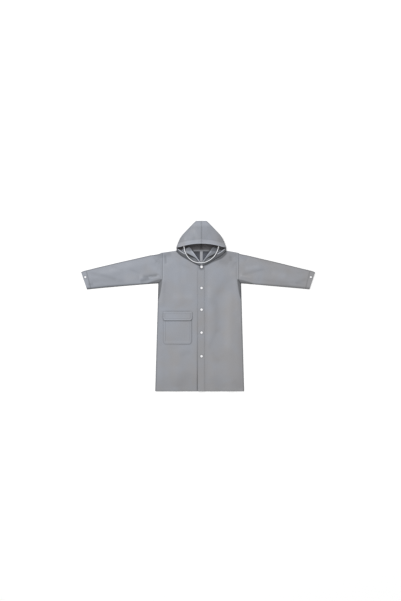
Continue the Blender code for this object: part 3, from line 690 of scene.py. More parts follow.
# ---- the sleeves
def sleeve_points(edges, sign):
    """A flattened tube, open at armhole and cuff.

    Also gives how far each ring is from the cuff, and how far each point is
    in from the sleeve's lower edge and from its upper edge.
    """
    last = len(edges) - 1
    keys = np.arange(last + 1)
    place = marked(0.0, last, 150, (0.05, 0.1, last - 0.1, last - 0.3))
    table = {name: np.interp(place, keys, column(edges, name)) for name in Edge._fields}
    low = np.stack([table["low_x"], table["low_y"]], axis=1)
    top = np.stack([table["top_x"], table["top_y"]], axis=1)
    middle = (low + top) / 2
    steps = np.linalg.norm(np.diff(middle, axis=0), axis=1)
    from_cuff = np.concatenate([np.cumsum(steps[::-1])[::-1], [0.0]])
    angles = np.radians(np.linspace(90, -90, 9))
    inset = CLOTH / 2 + SLEEVE_ROLL
    yoke = (YOKE_Y - edges[0].low_y) / (edges[0].top_y - edges[0].low_y)
    rings = []
    inside = []
    for i, at in enumerate(place):
        width = np.linalg.norm(top[i] - low[i])
        across = (top[i] - low[i]) / width
        bend = max(0.0, 1.0 - at)

        def flat(distance):
            x = low[i, 0] + across[0] * distance
            y = low[i, 1] + across[1] * distance
            seam = BODY_X + sign * (half_body(y) + ARMHOLE_GAP / 2)
            return mix(x, seam, bend), y

        turn = hem_rise(from_cuff[i], CUFF_TURN)

        def edge_points(start, inward):
            x, y = flat(np.array([start]))
            upper = (lie(x, y) + turn)[0]
            x, y = flat(start - inward * SLEEVE_ROLL * np.cos(angles))
            centre = (upper + CLOTH / 2) / 2
            reach = (upper - CLOTH / 2) / 2
            return spots(x, y, centre + reach * np.sin(angles))

        from_low = marked(inset, width - inset, 56, (yoke * width,))[1:-1]
        x, y = flat(from_low)
        upper = spots(x, y, lie(x, y) + turn)
        x, y = flat(np.linspace(width - inset, inset, 16)[1:-1])
        under = spots(x, y, CLOTH / 2)
        rings.append(np.concatenate([
            upper, edge_points(width - inset, -1), under, edge_points(inset, 1)[::-1],
        ]))
        edge = np.zeros(len(angles))
        back = np.full(len(under), 0.1)
        inside.append(np.stack([
            np.concatenate([from_low, edge + width, back, edge]),
            np.concatenate([width - from_low, edge, back, edge + width]),
        ], axis=1))
    return np.array(rings), from_cuff, np.array(inside)


def sleeve_shade(points, from_cuff, inside, sign):
    """Painted shade at the edges, in the armhole seam, round the caps, at the cuff's stitching and in the
    fold under the arm.
    """
    x, y, z = np.moveaxis(points, 2, 0)
    from_cuff = from_cuff[:, None]
    upper = smooth((z - 0.002) / 0.002)
    outward = sign * (x - BODY_X) - half_body(y)
    sewn = smooth((y - YOKE_Y + 0.01) / 0.02)
    seam, low_edge = (0.1, 0.78) if sign < 0 else (0.26, 0.6)
    dark = deepest(
        seam * sewn * line_at(outward, 0.0034),
        0.5 * line_at(inside[..., 1], 0.0055),
        0.34 * line_at(from_cuff - CUFF_TURN + HEM_STITCH, 0.0036) * upper,
        0.2 * line_at(from_cuff, 0.004),
        0.3 * beside_snaps("cuff_snap", x, y) * upper,
    )
    outer = smooth((np.abs(x) - 0.4) / 0.3)
    edge = low_edge * line_at(inside[..., 0], mix(0.008, 0.012, outer))
    fold = 0.47 * underarm(x, y) * upper
    return (1.0 - dark) * (1.0 - edge) * (1.0 - fold) * (1.0 + crease_shade(x, y) * upper)


# ---- the hood
SIDE_STEPS = 8
ARCH_STEPS = 46
FLOOR_STEPS = 12
FLOOR_INSET = 0.006  # from the hood's side to the end of its flat back
TURN_FOOT = Neck(0.0022, 0.4245)  # where its side turns in: the foot, from the side,
TURN_FOLD = (0.1735, 0.4255, 0.018)  # and the fold above it


def neck_foot(side):
    """A point of the hood wall's foot, just inside the neckline."""
    y = neckline(side)
    normal = Vector((float(y - neckline(side + 0.002)), 0.002)).normalized()
    return side + normal.x * WALL_INSET, float(y) + normal.y * WALL_INSET


def brim_y(side):
    return BRIM_Y - (BRIM_Y - BRIM_END_Y) * (side / BRIM_END) ** 2


Dent = namedtuple("Dent", "depth side across y along size")
HOOD_DENTS = (
    Dent(-0.004, 0.085, 1.0, 0.548, 1.6, 0.03),
    Dent(0.0022, 0.125, 0.7, 0.5, 1.8, 0.028),
    Dent(-0.003, 0.045, 0.8, 0.5, 1.5, 0.026),
)


def hood_relief(side, y):
    """Casing, centre seam and dents of the hood, outwards from its form."""
    above = y - brim_y(side)
    casing = 0.0009 * (1.0 - smooth((above - CASING) / 0.003))
    casing = casing - 0.0008 * line_at(above - CASING + CASING_STITCH, 0.0028)
    seam = 0.0007 * (1.0 - smooth((side - 0.007) / 0.002)) - 0.0006 * line_at(side - HOOD_STITCH, 0.0018)
    dents = sum(
        dent.depth * line_at(np.hypot((side - dent.side) / dent.across, (y - dent.y) / dent.along), dent.size)
        for dent in HOOD_DENTS
    )
    return casing + seam * smooth(above / 0.004) + dents * smooth(above / 0.03)


def wall_points(foot, fold, count):
    """From the foot up and over to the fold, as a quarter of an ellipse."""
    angle = np.linspace(0.0, math.pi / 2, count)
    inward = 1.0 - np.cos(angle)
    shares = (inward, inward, np.sin(angle))
    return spots(*(mix(*ends) for ends in zip(foot, fold, shares)))


def floor_points(reach, y):
    x = np.linspace(CLOSE, reach, FLOOR_STEPS + 1)[:-1]
    return spots(x, y, CLOTH / 2)


def hood_size(y):
    """Half width and height of the hood's middle surface, and the height of its sides."""
    half = eased(HOOD_ROWS, "y", "half", y) - CLOTH / 2
    height = eased(HOOD_ROWS, "y", "height", y)
    return half, height, np.minimum(HOOD_SIDE_Z, mix(CLOTH / 2, height, 0.5))


def hood_row(y, brim):
    """Across the hood at one height: the floor, the side and the arch to the seam or brim."""
    half, height, side_z = hood_size(y)
    turn = np.radians(np.linspace(-90.0, 0.0, SIDE_STEPS + 1))[:-1]
    x = half - HOOD_SIDE_ROLL * (1.0 - np.cos(turn))
    z = side_z + (side_z - HOOD_REST) * np.sin(turn)
    side = spots(x, y, z)
    end = math.acos(min(max(brim, CLOSE) / half, 0.999))
    angle = np.linspace(0.0, end, ARCH_STEPS)
    x = half * np.cos(angle)
    out = hood_relief(x, y) * smooth(angle / 0.25) * min(height / 0.03, 1.0)
    z = side_z + (height - side_z) * np.sin(angle) + out * np.sin(angle)
    x = x + out * np.cos(angle) * 0.5
    arch = spots(np.maximum(x, CLOSE), y, z)
    return np.concatenate([floor_points(half - HOOD_SIDE_ROLL, y), side, arch])


def hood_points(sign):
    """Half of the hood: flat behind, arched in front, open below the brim.

    Also gives how far each point is up the front wall, from 0 at its foot to
    1 at the edge of the face opening, and -1 where the hood has no such wall.
    """
    heights = [row.y for row in HOOD_ROWS]
    last_brim = BRIM_END * math.sqrt((BRIM_Y - heights[-1]) / (BRIM_Y - BRIM_END_Y))
    upper = marked(BRIM_Y, heights[0], 52, heights[:3] + [0.6326, 0.6297])[::-1]
    rows = [hood_row(y, 0.0) for y in upper]
    for brim in np.linspace(0.006, last_brim, 22):
        rows.append(hood_row(brim_y(brim), brim))
    count = SIDE_STEPS + ARCH_STEPS
    side = HOOD_ROWS[-1].half
    first = HOOD_WALL[0]
    turn = np.concatenate([
        floor_points(side - FLOOR_INSET, TURN_FOOT.y - 0.0005),
        wall_points((side - TURN_FOOT.side, TURN_FOOT.y, CLOTH / 2), TURN_FOLD, count),
    ])
    start = np.concatenate([
        floor_points(side - FLOOR_INSET, NECK_Y + SEAM / 2),
        wall_points(
            (side - 0.0012, NECK_Y + 0.0035, WALL_FOOT_Z + 0.0003),
            (first.fold_side, first.fold_y, first.fold_z), count,
        ),
    ])
    for a, b in ((rows[-1], turn), (turn, start)):
        rows += [mix(a, b, t) for t in (1 / 3, 2 / 3, 1.0)]
    walls = [start[FLOOR_STEPS:]]
    for place in HOOD_WALL[1:]:
        x, y = neck_foot(place.foot)
        walls.append(wall_points((x, y, WALL_FOOT_Z), (place.fold_side, place.fold_y, place.fold_z), count))
    steps = np.linspace(0.0, len(walls) - 1, 6 * (len(walls) - 1) + 1)[1:]
    missing = np.full((FLOOR_STEPS, 3), np.nan)
    rows += [np.concatenate([missing, row]) for row in through(walls, steps)]
    points = np.array(rows)
    points[..., 0] = CENTRE_X + sign * points[..., 0]
    climb = np.full(points.shape[:2], -1.0)
    climb[-len(steps) - 3:, FLOOR_STEPS:] = np.linspace(0.0, 1.0, count)
    return points, climb


def beside_cord(x, y):
    """1 under and right beside the drawstring, falling to 0 away from it: where its painted shadow falls."""
    path = through(CORD_ROUTE, np.linspace(0.0, len(CORD_ROUTE) - 1, 120))[:, :2]
    spots = np.stack([x, y], axis=-1)
    away = np.linalg.norm(spots[..., None, :] - path, axis=-1).min(axis=-1)
    return line_at(away, 0.007)


def hood_shade(points, climb):
    """Painted light and shade: a painted highlight on the casing and the brim's edge, the two halves of a
    different lightness and the top lighter, painted shade in the seams, at the edges and under the brim's
    ends, and the front wall's painted shade.
    """
    x, y, z = np.moveaxis(points, 2, 0)
    side = np.abs(x - CENTRE_X)
    above = y - brim_y(side)
    on_panel = smooth((y - BRIM_END_Y) / 0.004)
    arch = smooth((z - 0.006) / 0.01) * on_panel
    dark = deepest(
        0.14 * line_at(above - CASING, 0.004) * arch,
        0.26 * line_at(side, 0.004) * arch,
        0.55 * line_at(side, 0.006) * (1.0 - arch),
    )
    brim_end = smooth((0.441 - y) / 0.005) * smooth((y - 0.42) / 0.004) * smooth((side - 0.158) / 0.01)
    outline = deepest(
        0.4 * line_at(eased(HOOD_ROWS, "y", "half", y) - side, 0.0075) * on_panel,
        0.16 * line_at(HOOD_ROWS[0].y - y, 0.005),
        0.8 * brim_end,
    )
    casing = 0.19 * arch * (1.0 - smooth((above - CASING) / 0.004))
    lit = casing + 0.26 * line_at(above - 0.001, 0.005) * arch
    # Painted light and shade: the halves differ as the light falls, and the top is lighter.
    away_from_light = smooth((x - CENTRE_X) / 0.08 + 0.5)
    top = 0.17 * smooth((y - 0.58) / 0.03)
    panel = (mix(0.83, 0.91, away_from_light) + top) * (1.0 - 0.08 * smooth((side - 0.1) / 0.06))
    shade = (panel - dark + lit) * (1.0 - outline)
    # The front wall: painted shade at its foot, a painted shadow in the slit by its fold near the neck, a
    # painted highlight on the fold further out, and a painted shadow beside the cord.
    near_neck = smooth((side - 0.045) / 0.035)
    beside_neck = smooth((side - 0.112) / 0.014)
    strip = mix(0.36, mix(0.54, 0.38, near_neck), smooth((climb - 0.5) / 0.12) * (1.0 - beside_neck))
    fold = mix(0.05, 1.55, beside_neck)
    wall = mix(strip, fold, smooth((climb - mix(0.86, 0.76, near_neck)) / 0.07))
    wall = wall * (1.0 - 0.55 * beside_cord(x, y))
    return np.where(climb >= 0.0, wall, shade)


def facing_points(sign):
    across = np.linspace(0.0, 1.0, 15)
    keys = []
    for place in FACING:
        x = CENTRE_X + sign * mix(place.side, place.inner_side, across)
        y = mix(place.y, place.inner_y, across)
        z = mix(place.z, place.inner_z, across * across)
        keys.append(spots(x, y, z))
    return through(keys, np.linspace(0.0, len(keys) - 1, 8 * (len(keys) - 1) + 1))


def facing_shade(points, sign):
    """Painted shadow in the slit by the fold, under the brim and beside the cord, and painted light at its
    inner edge.
    """
    x, y = points[..., 0], points[..., 1]
    across = np.linspace(0.0, 1.0, points.shape[1])
    under_brim = smooth((y - 0.404) / 0.03)
    slit = 1.0 - smooth((across - 0.07) / 0.11)
    middle, rim = (0.71, 1.02) if sign < 0 else (0.35, 0.68)
    below_brim = (0.45 if sign < 0 else 0.75) * smooth((0.414 - y) / 0.012)
    lit = mix(middle, rim, smooth((across - 0.58) / 0.32)) * (1.0 + below_brim)
    made = mix(mix(lit, 0.04, slit), 0.34, under_brim)
    return made * (1.0 - 0.45 * beside_cord(x, y))


# ---- the pocket
def edge_inside(x, y, patch):
    """Distance in from the sides and the rounded lower edge of a patch."""
    corner = patch.corner
    dx = np.minimum(x - patch.left, patch.right - x)
    dy = y - patch.bottom
    round_in = corner - np.hypot(np.maximum(corner - dx, 0.0), np.maximum(corner - dy, 0.0))
    return np.where((dx < corner) & (dy < corner), round_in, np.minimum(dx, dy))


def flap_inside(x, y):
    return np.minimum(edge_inside(x, y, FLAP), FLAP.top - y)


def bag_form(x, y):
    u = (x - BAG.left) / (BAG.right - BAG.left)
    v = (y - BAG.bottom) / (BAG.top - BAG.bottom)
    across = np.maximum(4.0 * u * (1.0 - u), 0.0)
    puff = across * smooth(v / 0.4) * mix(1.0, 0.55, smooth((v - 0.5) / 0.5))
    return LIE + on_cloth(TRIM) + POCKET_PUFF * puff + SEAM


def bag_height(x, y):
    edge = edge_inside(x, y, BAG)
    rise = 0.0007 * smooth(edge / 0.003) - 0.0005 * smooth((edge - BAG_HEM) / 0.003)
    lines = GROOVE * line_at(edge - BAG_STITCH, GROOVE_WIDTH) + 0.0007 * line_at(edge - BAG_HEM, 0.0028)
    waves = np.sin(38.0 * x + 21.0 * y) * np.sin(25.0 * y - 9.0 * x + 0.6)
    slack = 0.0008 * waves * smooth((edge - 0.02) / 0.03)
    return bag_form(x, y) + rise - np.minimum(lines, 0.0007) + slack


def flap_height(x, y):
    down = (FLAP.top - y) / (FLAP.top - FLAP.bottom)
    over_bag = bag_form(x, np.minimum(y, BAG.top)) + TRIM + 2 * SEAM + 0.0004
    seat = LIE + on_cloth(TRIM)
    rise = smooth((FLAP.top - 0.001 - y) / (FLAP.top - BAG.top - 0.002))
    edge = flap_inside(x, y)
    rim = 0.0008 * smooth(edge / 0.003) - 0.0004 * smooth((edge - FLAP_STITCH) / 0.002)
    lift = FLAP_LIFT * down * down
    return mix(seat, over_bag, rise) + lift + rim - 0.0006 * line_at(edge - FLAP_STITCH, GROOVE_WIDTH)


def bag_shade(x, y):
    """Painted shade at its edge and a painted shadow under the flap, with a painted highlight on the roll
    inside the hem's stitching.
    """
    edge = edge_inside(x, y, BAG)
    under_flap = smooth((y - FLAP.bottom + 0.009) / 0.006)
    right = smooth((x - BAG.left) / (BAG.right - BAG.left))
    low = smooth((BAG.bottom + 0.03 - y) / 0.02)
    dark = deepest(
        mix(0.1, 0.28, np.maximum(right, 0.5 * low)) * line_at(edge, 0.0026),
        0.13 * (1.0 - low) * line_at(edge - BAG_HEM + 0.002, 0.0034),
        0.34 * under_flap,
    )
    lit = 0.13 * line_at(edge - BAG_HEM - 0.003, 0.0042) * np.maximum(low, 0.35 * right)
    return 1.0 - dark + lit


def flap_shade(x, y):
    """Painted shade at its edge and inside its stitching, and a painted highlight on the roll between them.
    """
    edge = flap_inside(x, y)
    low = smooth((FLAP.bottom + 0.022 - y) / 0.01)
    dark = deepest(0.34 * line_at(edge, 0.0026), 0.2 * line_at(edge - FLAP_STITCH - 0.004, 0.003))
    lit = mix(0.14, 0.2, low) * line_at(edge - 0.0062, 0.0034)
    return 1.0 - dark + lit


def patch_points(patch, height, across, down, marks):
    """A panel with two round lower corners; height(x, y) is its middle."""
    left, right, top, bottom, corner = patch
    shares = [m / (right - left) for m in marks]
    sides = marked(0.0, 1.0, across, shares + [1.0 - share for share in shares])
    straight = marked(bottom + corner, top, down, [top - m for m in marks])[::-1]
    turned = bottom + corner * (1.0 - np.sin(np.radians(np.arange(6, 91, 6))))
    y = np.concatenate([straight, turned])
    drop = np.maximum(bottom + corner - y, 0.0)
    inset = corner - np.sqrt(np.maximum(corner * corner - drop * drop, 0.0))
    x = mix((left + inset)[:, None], (right - inset)[:, None], sides[None, :])
    y = np.broadcast_to(y[:, None], x.shape)
    return spots(x, y, height(x, y))


# ---- the finishes
class Finish:
    """A material, with the nodes that its colour, gloss and relief come from."""

    def __init__(self, name):
        self.material = bpy.data.materials.new(name)
        self.material.use_nodes = True
        self.tree = self.material.node_tree
        self.place = self.node("ShaderNodeTexCoord").outputs["Object"]

    def feed(self, node, inputs):
        """Gives a node's inputs plain values, colours or another node's output."""
        for key, value in inputs.items():
            if isinstance(value, bpy.types.NodeSocket):
                self.tree.links.new(value, node.inputs[key])
            else:
                node.inputs[key].default_value = (*value, 1.0) if isinstance(value, tuple) else value

    def node(self, kind, inputs=None, **options):
        made = self.tree.nodes.new(kind)
        for name, value in options.items():
            setattr(made, name, value)
        self.feed(made, inputs or {})
        return made

    def ramped(self, value, low, high):
        """A value from 0 to 1 spread between two others."""
        inputs = {"Value": value, "From Min": 0.3, "From Max": 0.7, "To Min": low, "To Max": high}
        return self.node("ShaderNodeMapRange", inputs).outputs["Result"]

    def noise(self, scale, detail=2.0, distortion=0.0):
        inputs = {"Vector": self.place, "Scale": scale, "Detail": detail, "Distortion": distortion}
        return self.node("ShaderNodeTexNoise", inputs).outputs["Fac"]

    def mottled(self, scale, low, high, detail=2.0):
        return self.ramped(self.noise(scale, detail), low, high)

    def bump(self, height, distance, strength, before=None):
        inputs = {"Height": height, "Distance": distance, "Strength": strength}
        if before is not None:
            inputs["Normal"] = before
        return self.node("ShaderNodeBump", inputs).outputs["Normal"]

    def wave(self, coordinate, direction, period):
        """Even threads across one direction of the cloth."""
        inputs = {"Vector": coordinate, "Scale": 2.0 * math.pi / (20.0 * period)}
        return self.node("ShaderNodeTexWave", inputs, bands_direction=direction).outputs["Fac"]

    def maths(self, operation, a, b, clamp=False):
        made = self.node("ShaderNodeMath", {0: a, 1: b}, operation=operation, use_clamp=clamp)
        return made.outputs["Value"]

    def blended(self, factor, a, b, mode="MIX"):
        """Two colours mixed; inputs 6 and 7 and output 2 are the node's colours."""
        inputs = {"Factor": factor, 6: a, 7: b}
        return self.node("ShaderNodeMix", inputs, data_type="RGBA", blend_type=mode).outputs[2]

    def times(self, a, b):
        return self.blended(1.0, a, b, "MULTIPLY")

    def shaded(self, tint):
        """A colour darkened or lightened by the painted shade and painted light that the mesh holds at each
        point.
        """
        shade = self.node("ShaderNodeAttribute", attribute_name="shade").outputs["Fac"]
        return self.times(tint, shade)

    def clouding(self):
        """Soft patches, with less of the first grey towards the left sleeve and the hem."""
        split = self.node("ShaderNodeSeparateXYZ", {"Vector": self.place})
        across = self.maths("MULTIPLY", split.outputs["X"], 0.75)
        along = self.maths("MULTIPLY", split.outputs["Y"], -0.65)
        slow = self.maths("ADD", self.maths("ADD", across, along), 0.02)
        return self.maths("ADD", slow, self.ramped(self.noise(6.5, 3.0, 0.5), 0.0, 0.9), clamp=True)

    def made(self, inputs):
        """The material, once its shader has its inputs."""
        self.feed(self.tree.nodes["Principled BSDF"], inputs)
        return self.material


def rain_cloth(name, colour, second, roughness, sheen, settings):
    """Coated woven cloth: two close greys, a fine weave and slight crumple."""
    finish = Finish(name)
    cut = finish.node("ShaderNodeUVMap", uv_map="cloth").outputs["UV"]
    tint = finish.blended(finish.clouding(), tuple(colour), tuple(second))
    tint = finish.times(tint, finish.mottled(420.0, 0.955, 1.045))
    warp = finish.wave(cut, "X", settings.weave)
    weft = finish.wave(cut, "Y", settings.weave)
    weave = finish.maths("MULTIPLY", warp, weft)
    normal = finish.bump(finish.noise(34.0, 4.0, 0.8), 0.0011, settings.crumple)
    return finish.made({
        "Base Color": finish.shaded(tint),
        "Roughness": finish.mottled(26.0, roughness - 0.05, roughness + 0.06, 3.0),
        "Sheen Weight": sheen,
        "Sheen Roughness": 0.45,
        "Normal": finish.bump(weave, 0.00006, 0.6, normal),
    })


def satin_tape(name, colour):
    finish = Finish(name)
    return finish.made({
        "Base Color": finish.shaded(finish.times(tuple(colour), finish.mottled(60.0, 0.93, 1.05, 3.0))),
        "Roughness": 0.45,
        "Normal": finish.bump(finish.noise(900.0), 0.0001, 0.4),
    })


def sewing_thread(name, colour):
    finish = Finish(name)
    fibre = finish.mottled(1800.0, 0.9, 1.08)
    return finish.made({
        "Base Color": finish.times(tuple(colour), fibre),
        "Roughness": 0.65,
        "Normal": finish.bump(fibre, 0.00005, 0.5),
    })


def moulded_plastic(name, colour):
    finish = Finish(name)
    return finish.made({
        "Base Color": finish.times(tuple(colour), finish.mottled(160.0, 0.96, 1.02, 3.0)),
        "Roughness": finish.mottled(700.0, 0.24, 0.36),
        "Normal": finish.bump(finish.noise(1400.0), 0.00005, 0.3),
    })


def braided_cotton(name, colour):
    finish = Finish(name)
    fibre = finish.mottled(1500.0, 0.94, 1.03)
    return finish.made({
        "Base Color": finish.shaded(finish.times(tuple(colour), fibre)),
        "Roughness": 0.75,
        "Sheen Weight": 0.2,
        "Normal": finish.bump(fibre, 0.0001, 0.5),
    })


MATERIALS = {}


def finishes():
    """The coat's materials, made once from the settings."""
    if MATERIALS:
        return MATERIALS
    settings = bpy.context.scene.raincoat
    for key, name, colour, second, roughness, sheen in (
        ("cloth", "coat_cloth", settings.cloth_colour, settings.cloth_second, 0.5, 0.1),
        # The inside and hood-inside colours are dark to stand in for the shade inside the coat and the hood:
        # painted shade.
        ("inside", "coat_inside", settings.inside_colour, settings.inside_colour, 0.62, 0.05),
        ("hood_inside", "hood_inside", settings.hood_colour, settings.hood_colour, 0.62, 0.05),
        ("facing", "facing_cloth", settings.cloth_colour, settings.cloth_colour, 0.55, 0.05),
    ):
        MATERIALS[key] = rain_cloth(name, colour, second, roughness, sheen, settings)
    MATERIALS["thread"] = sewing_thread("sewing_thread", settings.thread_colour)
    MATERIALS["tape"] = satin_tape("seam_tape", settings.tape_colour)
    MATERIALS["snap"] = moulded_plastic("snap_plastic", settings.snap_colour)
    MATERIALS["cord"] = braided_cotton("cord_braid", settings.cord_colour)
    return MATERIALS


# ---- making cloth
def select_only(obj):
    bpy.ops.object.select_all(action="DESELECT")
    obj.select_set(True)
    bpy.context.view_layer.objects.active = obj


def cloth_lengths(points):
    """Lengths along rows and columns of a grid, which are the cloth's own map."""
    across = np.nan_to_num(np.linalg.norm(np.diff(points, axis=1), axis=2))
    along = np.nan_to_num(np.linalg.norm(np.diff(points, axis=0), axis=2))
    u = np.concatenate([np.zeros((len(points), 1)), np.cumsum(across, axis=1)], axis=1)
    v = np.concatenate([np.zeros((1, points.shape[1])), np.cumsum(along, axis=0)])
    return u, v


def quads(grid):
    """The four corners of each cell of a grid."""
    return np.stack([grid[:-1, :-1], grid[:-1, 1:], grid[1:, 1:], grid[1:, :-1]], axis=2)


def around(grid):
    """A grid whose last column is its first one again."""
    return np.concatenate([grid, grid[:, :1]], axis=1)


def new_mesh(name, points, faces, shade=None):
    mesh = bpy.data.meshes.new(name)
    mesh.from_pydata(points, [], faces)
    if shade is not None:
        mesh.attributes.new("shade", "FLOAT", "POINT").data.foreach_set("value", shade)
    return mesh


def cloth_mesh(name, points, shade, closed=False, cap=False):
    """A mesh on a grid of points; points that are not a number are left out."""
    rows, count = points.shape[:2]
    there = ~np.isnan(points[..., 0])
    index = np.full((rows, count), -1)
    index[there] = np.arange(there.sum())
    u, v = cloth_lengths(points)
    if closed:
        index = around(index)
        u = np.concatenate([u, u[:, -1:] + RING_STEP], axis=1)
        v = around(v)
    corners = quads(index)
    place = np.stack([u, v], axis=2)
    whole = (corners >= 0).all(axis=2)
    faces = corners[whole].tolist()
    uvs = quads(place)[whole].reshape(-1, 2)
    if cap:
        faces.append(index[0, :count][::-1].tolist())
        uvs = np.concatenate([uvs, place[0, :count][::-1]])
    mesh = new_mesh(name, points[there].tolist(), faces, shade[there])
    mesh.uv_layers.new(name="cloth").data.foreach_set("uv", uvs.ravel())
    mesh.update()
    turn_up(mesh)
    return mesh


def face_values(mesh, name, size):
    values = np.empty(len(mesh.polygons) * size)
    mesh.polygons.foreach_get(name, values)
    return values.reshape(-1, size)


def turn_up(mesh):
    """Turns the faces so that those of the upper layer look up."""
    height = face_values(mesh, "center", 3)[:, 2]
    upper = height >= (height.min() + height.max()) / 2
    facing = face_values(mesh, "normal", 3)[:, 2] * face_values(mesh, "area", 1)[:, 0]
    if facing[upper].sum() < 0.0:
        mesh.flip_normals()


def linked(name, data):
    """A new object in the scene."""
    obj = bpy.data.objects.new(name, data)
    bpy.context.scene.collection.objects.link(obj)
    return obj


def add_piece(name, mesh, materials):
    obj = linked(name, mesh)
    for mat in materials:
        mesh.materials.append(mat)
    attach(obj, "root")
    return obj


def cloth_piece(node, points, shade, wall, kind="cloth", inside="inside", outside="cloth",
                closed=False, cap=False):
    """A thin shell on its middle surface, in place of a CAD node, mapped by the lengths of its cloth."""
    name = f"{node}_{kind}"
    made = finishes()
    mesh = cloth_mesh(name, points, shade, closed, cap)
    obj = add_piece(name, mesh, [made[outside], made[inside]])
    select_only(obj)
    solid = obj.modifiers.new("wall", "SOLIDIFY")
    solid.thickness = wall
    solid.offset = 0.0
    solid.use_even_offset = True
    solid.material_offset = 1
    bpy.ops.object.modifier_apply(modifier=solid.name)
    bpy.ops.object.shade_smooth_by_angle(angle=math.radians(48))
    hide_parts(node)
    return obj


def tape_shade(x):
    """Painted shadow where the hood's facing hangs over the tape."""
    return mix(1.0, 0.3, smooth((np.abs(x - CENTRE_X) - 0.054) / 0.012))


# ---- the sewing
def added(add, **how):
    """The object that one of Blender's add operators makes, alone selected."""
    bpy.ops.object.select_all(action="DESELECT")
    add(**how)
    select_only(bpy.context.object)
    return bpy.context.object


def stitch_form():
    """One stitch, a small rounded bead of thread, as points and faces."""
    bead = added(bpy.ops.mesh.primitive_uv_sphere_add, segments=6, ring_count=4, radius=0.5)
    bpy.ops.object.mode_set(mode="EDIT")
    bpy.ops.mesh.select_all(action="SELECT")
    bpy.ops.transform.rotate(
        value=math.pi / 2, orient_axis="Y", orient_type="GLOBAL", center_override=(0, 0, 0))
    bpy.ops.transform.resize(value=(STITCH_LENGTH, THREAD, THREAD))
    bpy.ops.object.mode_set(mode="OBJECT")
    points = np.array([v.co[:] for v in bead.data.vertices])
    faces = [list(face.vertices) for face in bead.data.polygons]
    bpy.data.objects.remove(bead, do_unlink=True)
    return points, faces


def stitching(name, paths):
    """Rows of stitches along paths, joined as one piece."""
    bead, bead_faces = stitch_form()
    verts = []
    faces = []
    for path in paths:
        places, along = spaced_along(path, STITCH_PITCH)
        aside, up = across_path(along)
        for spot, a, b, c in zip(places, along, aside, up):
            start = len(verts)
            verts.extend((spot + bead @ np.stack([a, b, c])).tolist())
            faces.extend([[start + i for i in face] for face in bead_faces])
    mesh = new_mesh(name, verts, faces)
    mesh.shade_smooth()
    return add_piece(name, mesh, [finishes()["thread"]])


def front_face(x, y, sign):
    """Outer face of a front."""
    z = lie(x, y) + CLOTH / 2 + hem_rise(y - HEM_Y, HEM_TURN)
    return z + (lap(x) if sign > 0 else 0.0)


def placket_face(x, y):
    """Outer face of the snap band."""
    return lie(x, y) + lap(x) + on_cloth(TRIM) + TRIM / 2 + hem_rise(y - HEM_Y, HEM_TURN)


def body_paths():
    """Hem, yoke and neck stitching of the fronts."""
    found = []
    for sign, start, end in (
        (-1, BODY_X - HALF_HEM + 0.01, PLACKET_LEFT - 0.001),
        (1, PLACKET_RIGHT + 0.001, BODY_X + HALF_HEM - 0.01),
    ):
        x = np.linspace(start, end, 160)
        found.append(spots(x, HEM_LINE, front_face(x, np.full(x.shape, HEM_LINE), sign)))
    for sign in (-1, 1):
        y = np.linspace(YOKE_Y + 0.004, SHOULDER_Y - 0.012, 120)
        x = np.full(y.shape, BODY_X + sign * (HALF_YOKE - ARMHOLE_GAP / 2 - YOKE_STITCH))
        found.append(spots(x, y, front_face(x, y, sign) + 0.0002))
        side = np.linspace(0.034, HALF_NECK - 0.006, 120)
        x = CENTRE_X + sign * side
        y = neckline(side) - NECK_STITCH
        found.append(spots(x, y, front_face(x, y, sign) + THREAD / 4))
    return found


def placket_paths():
    """Both edges of the snap band and its hem."""
    found = []
    for x in (PLACKET_LEFT + PLACKET_STITCH, PLACKET_RIGHT - PLACKET_STITCH):
        y = np.linspace(HEM_Y + 0.003, float(top_of_front(np.array([x]))[0]) - 0.006, 300)
        x = np.full(y.shape, x)
        found.append(spots(x, y, placket_face(x, y) + 0.0005))
    x = np.linspace(PLACKET_LEFT + 0.007, PLACKET_RIGHT - 0.007, 30)
    y = np.full(x.shape, HEM_LINE)
    found.append(spots(x, y, placket_face(x, y) + 0.0009))
    return found


def patch_line(patch, inset, closed):
    """A line inside a patch's outline, down one side, round and up the other."""
    radius = max(patch.corner - inset, 0.002)
    left, right, bottom = patch.left + inset, patch.right - inset, patch.bottom + inset
    turn = np.linspace(0.0, math.pi / 2, 14)
    bend = radius * np.cos(turn)
    down = bottom + radius - radius * np.sin(turn)
    xs = [[left], left + radius - bend, (right - radius + bend)[::-1], [right]]
    ys = [[patch.top], down, down[::-1], [patch.top]]
    path = np.stack([np.concatenate(xs), np.concatenate(ys)], axis=1)
    if closed:
        path = np.concatenate([path, path[:1]])
    dense = []
    for a, b in zip(path, path[1:]):
        steps = max(2, int(np.linalg.norm(b - a) / 0.003))
        dense += [mix(a, b, t) for t in np.linspace(0.0, 1.0, steps, endpoint=False)]
    return np.array(dense + [path[-1]])


def pocket_paths():
    found = []
    for patch, inset, closed, height in (
        (BAG._replace(top=FLAP.bottom - 0.003), BAG_STITCH, False, bag_height),
        (FLAP._replace(top=FLAP.top - FLAP_STITCH), FLAP_STITCH, True, flap_height),
    ):
        x, y = patch_line(patch, inset, closed).T
        found.append(spots(x, y, height(x, y) + TRIM / 2))
    return found


def cuff_paths(points, from_cuff):
    """Round a sleeve on its stitched hem line, on the upper layer."""
    at = int(np.argmin(np.abs(from_cuff - CUFF_TURN + HEM_STITCH)))
    upper = points[at, CUFF_STITCHED].copy()
    upper[:, 2] += CLOTH / 2
    return [upper]


def hood_paths():
    """Along the casing's stitched line and beside the seam over the head."""
    found = []
    for sign in (-1, 1):
        side = np.linspace(0.01, 0.158, 90)
        found.append(hood_line(side, brim_y(side) + CASING - CASING_STITCH, sign))
        y = np.linspace(BRIM_Y + 0.004, 0.622, 110)
        found.append(hood_line(np.full(y.shape, HOOD_STITCH), y, sign))
    return found


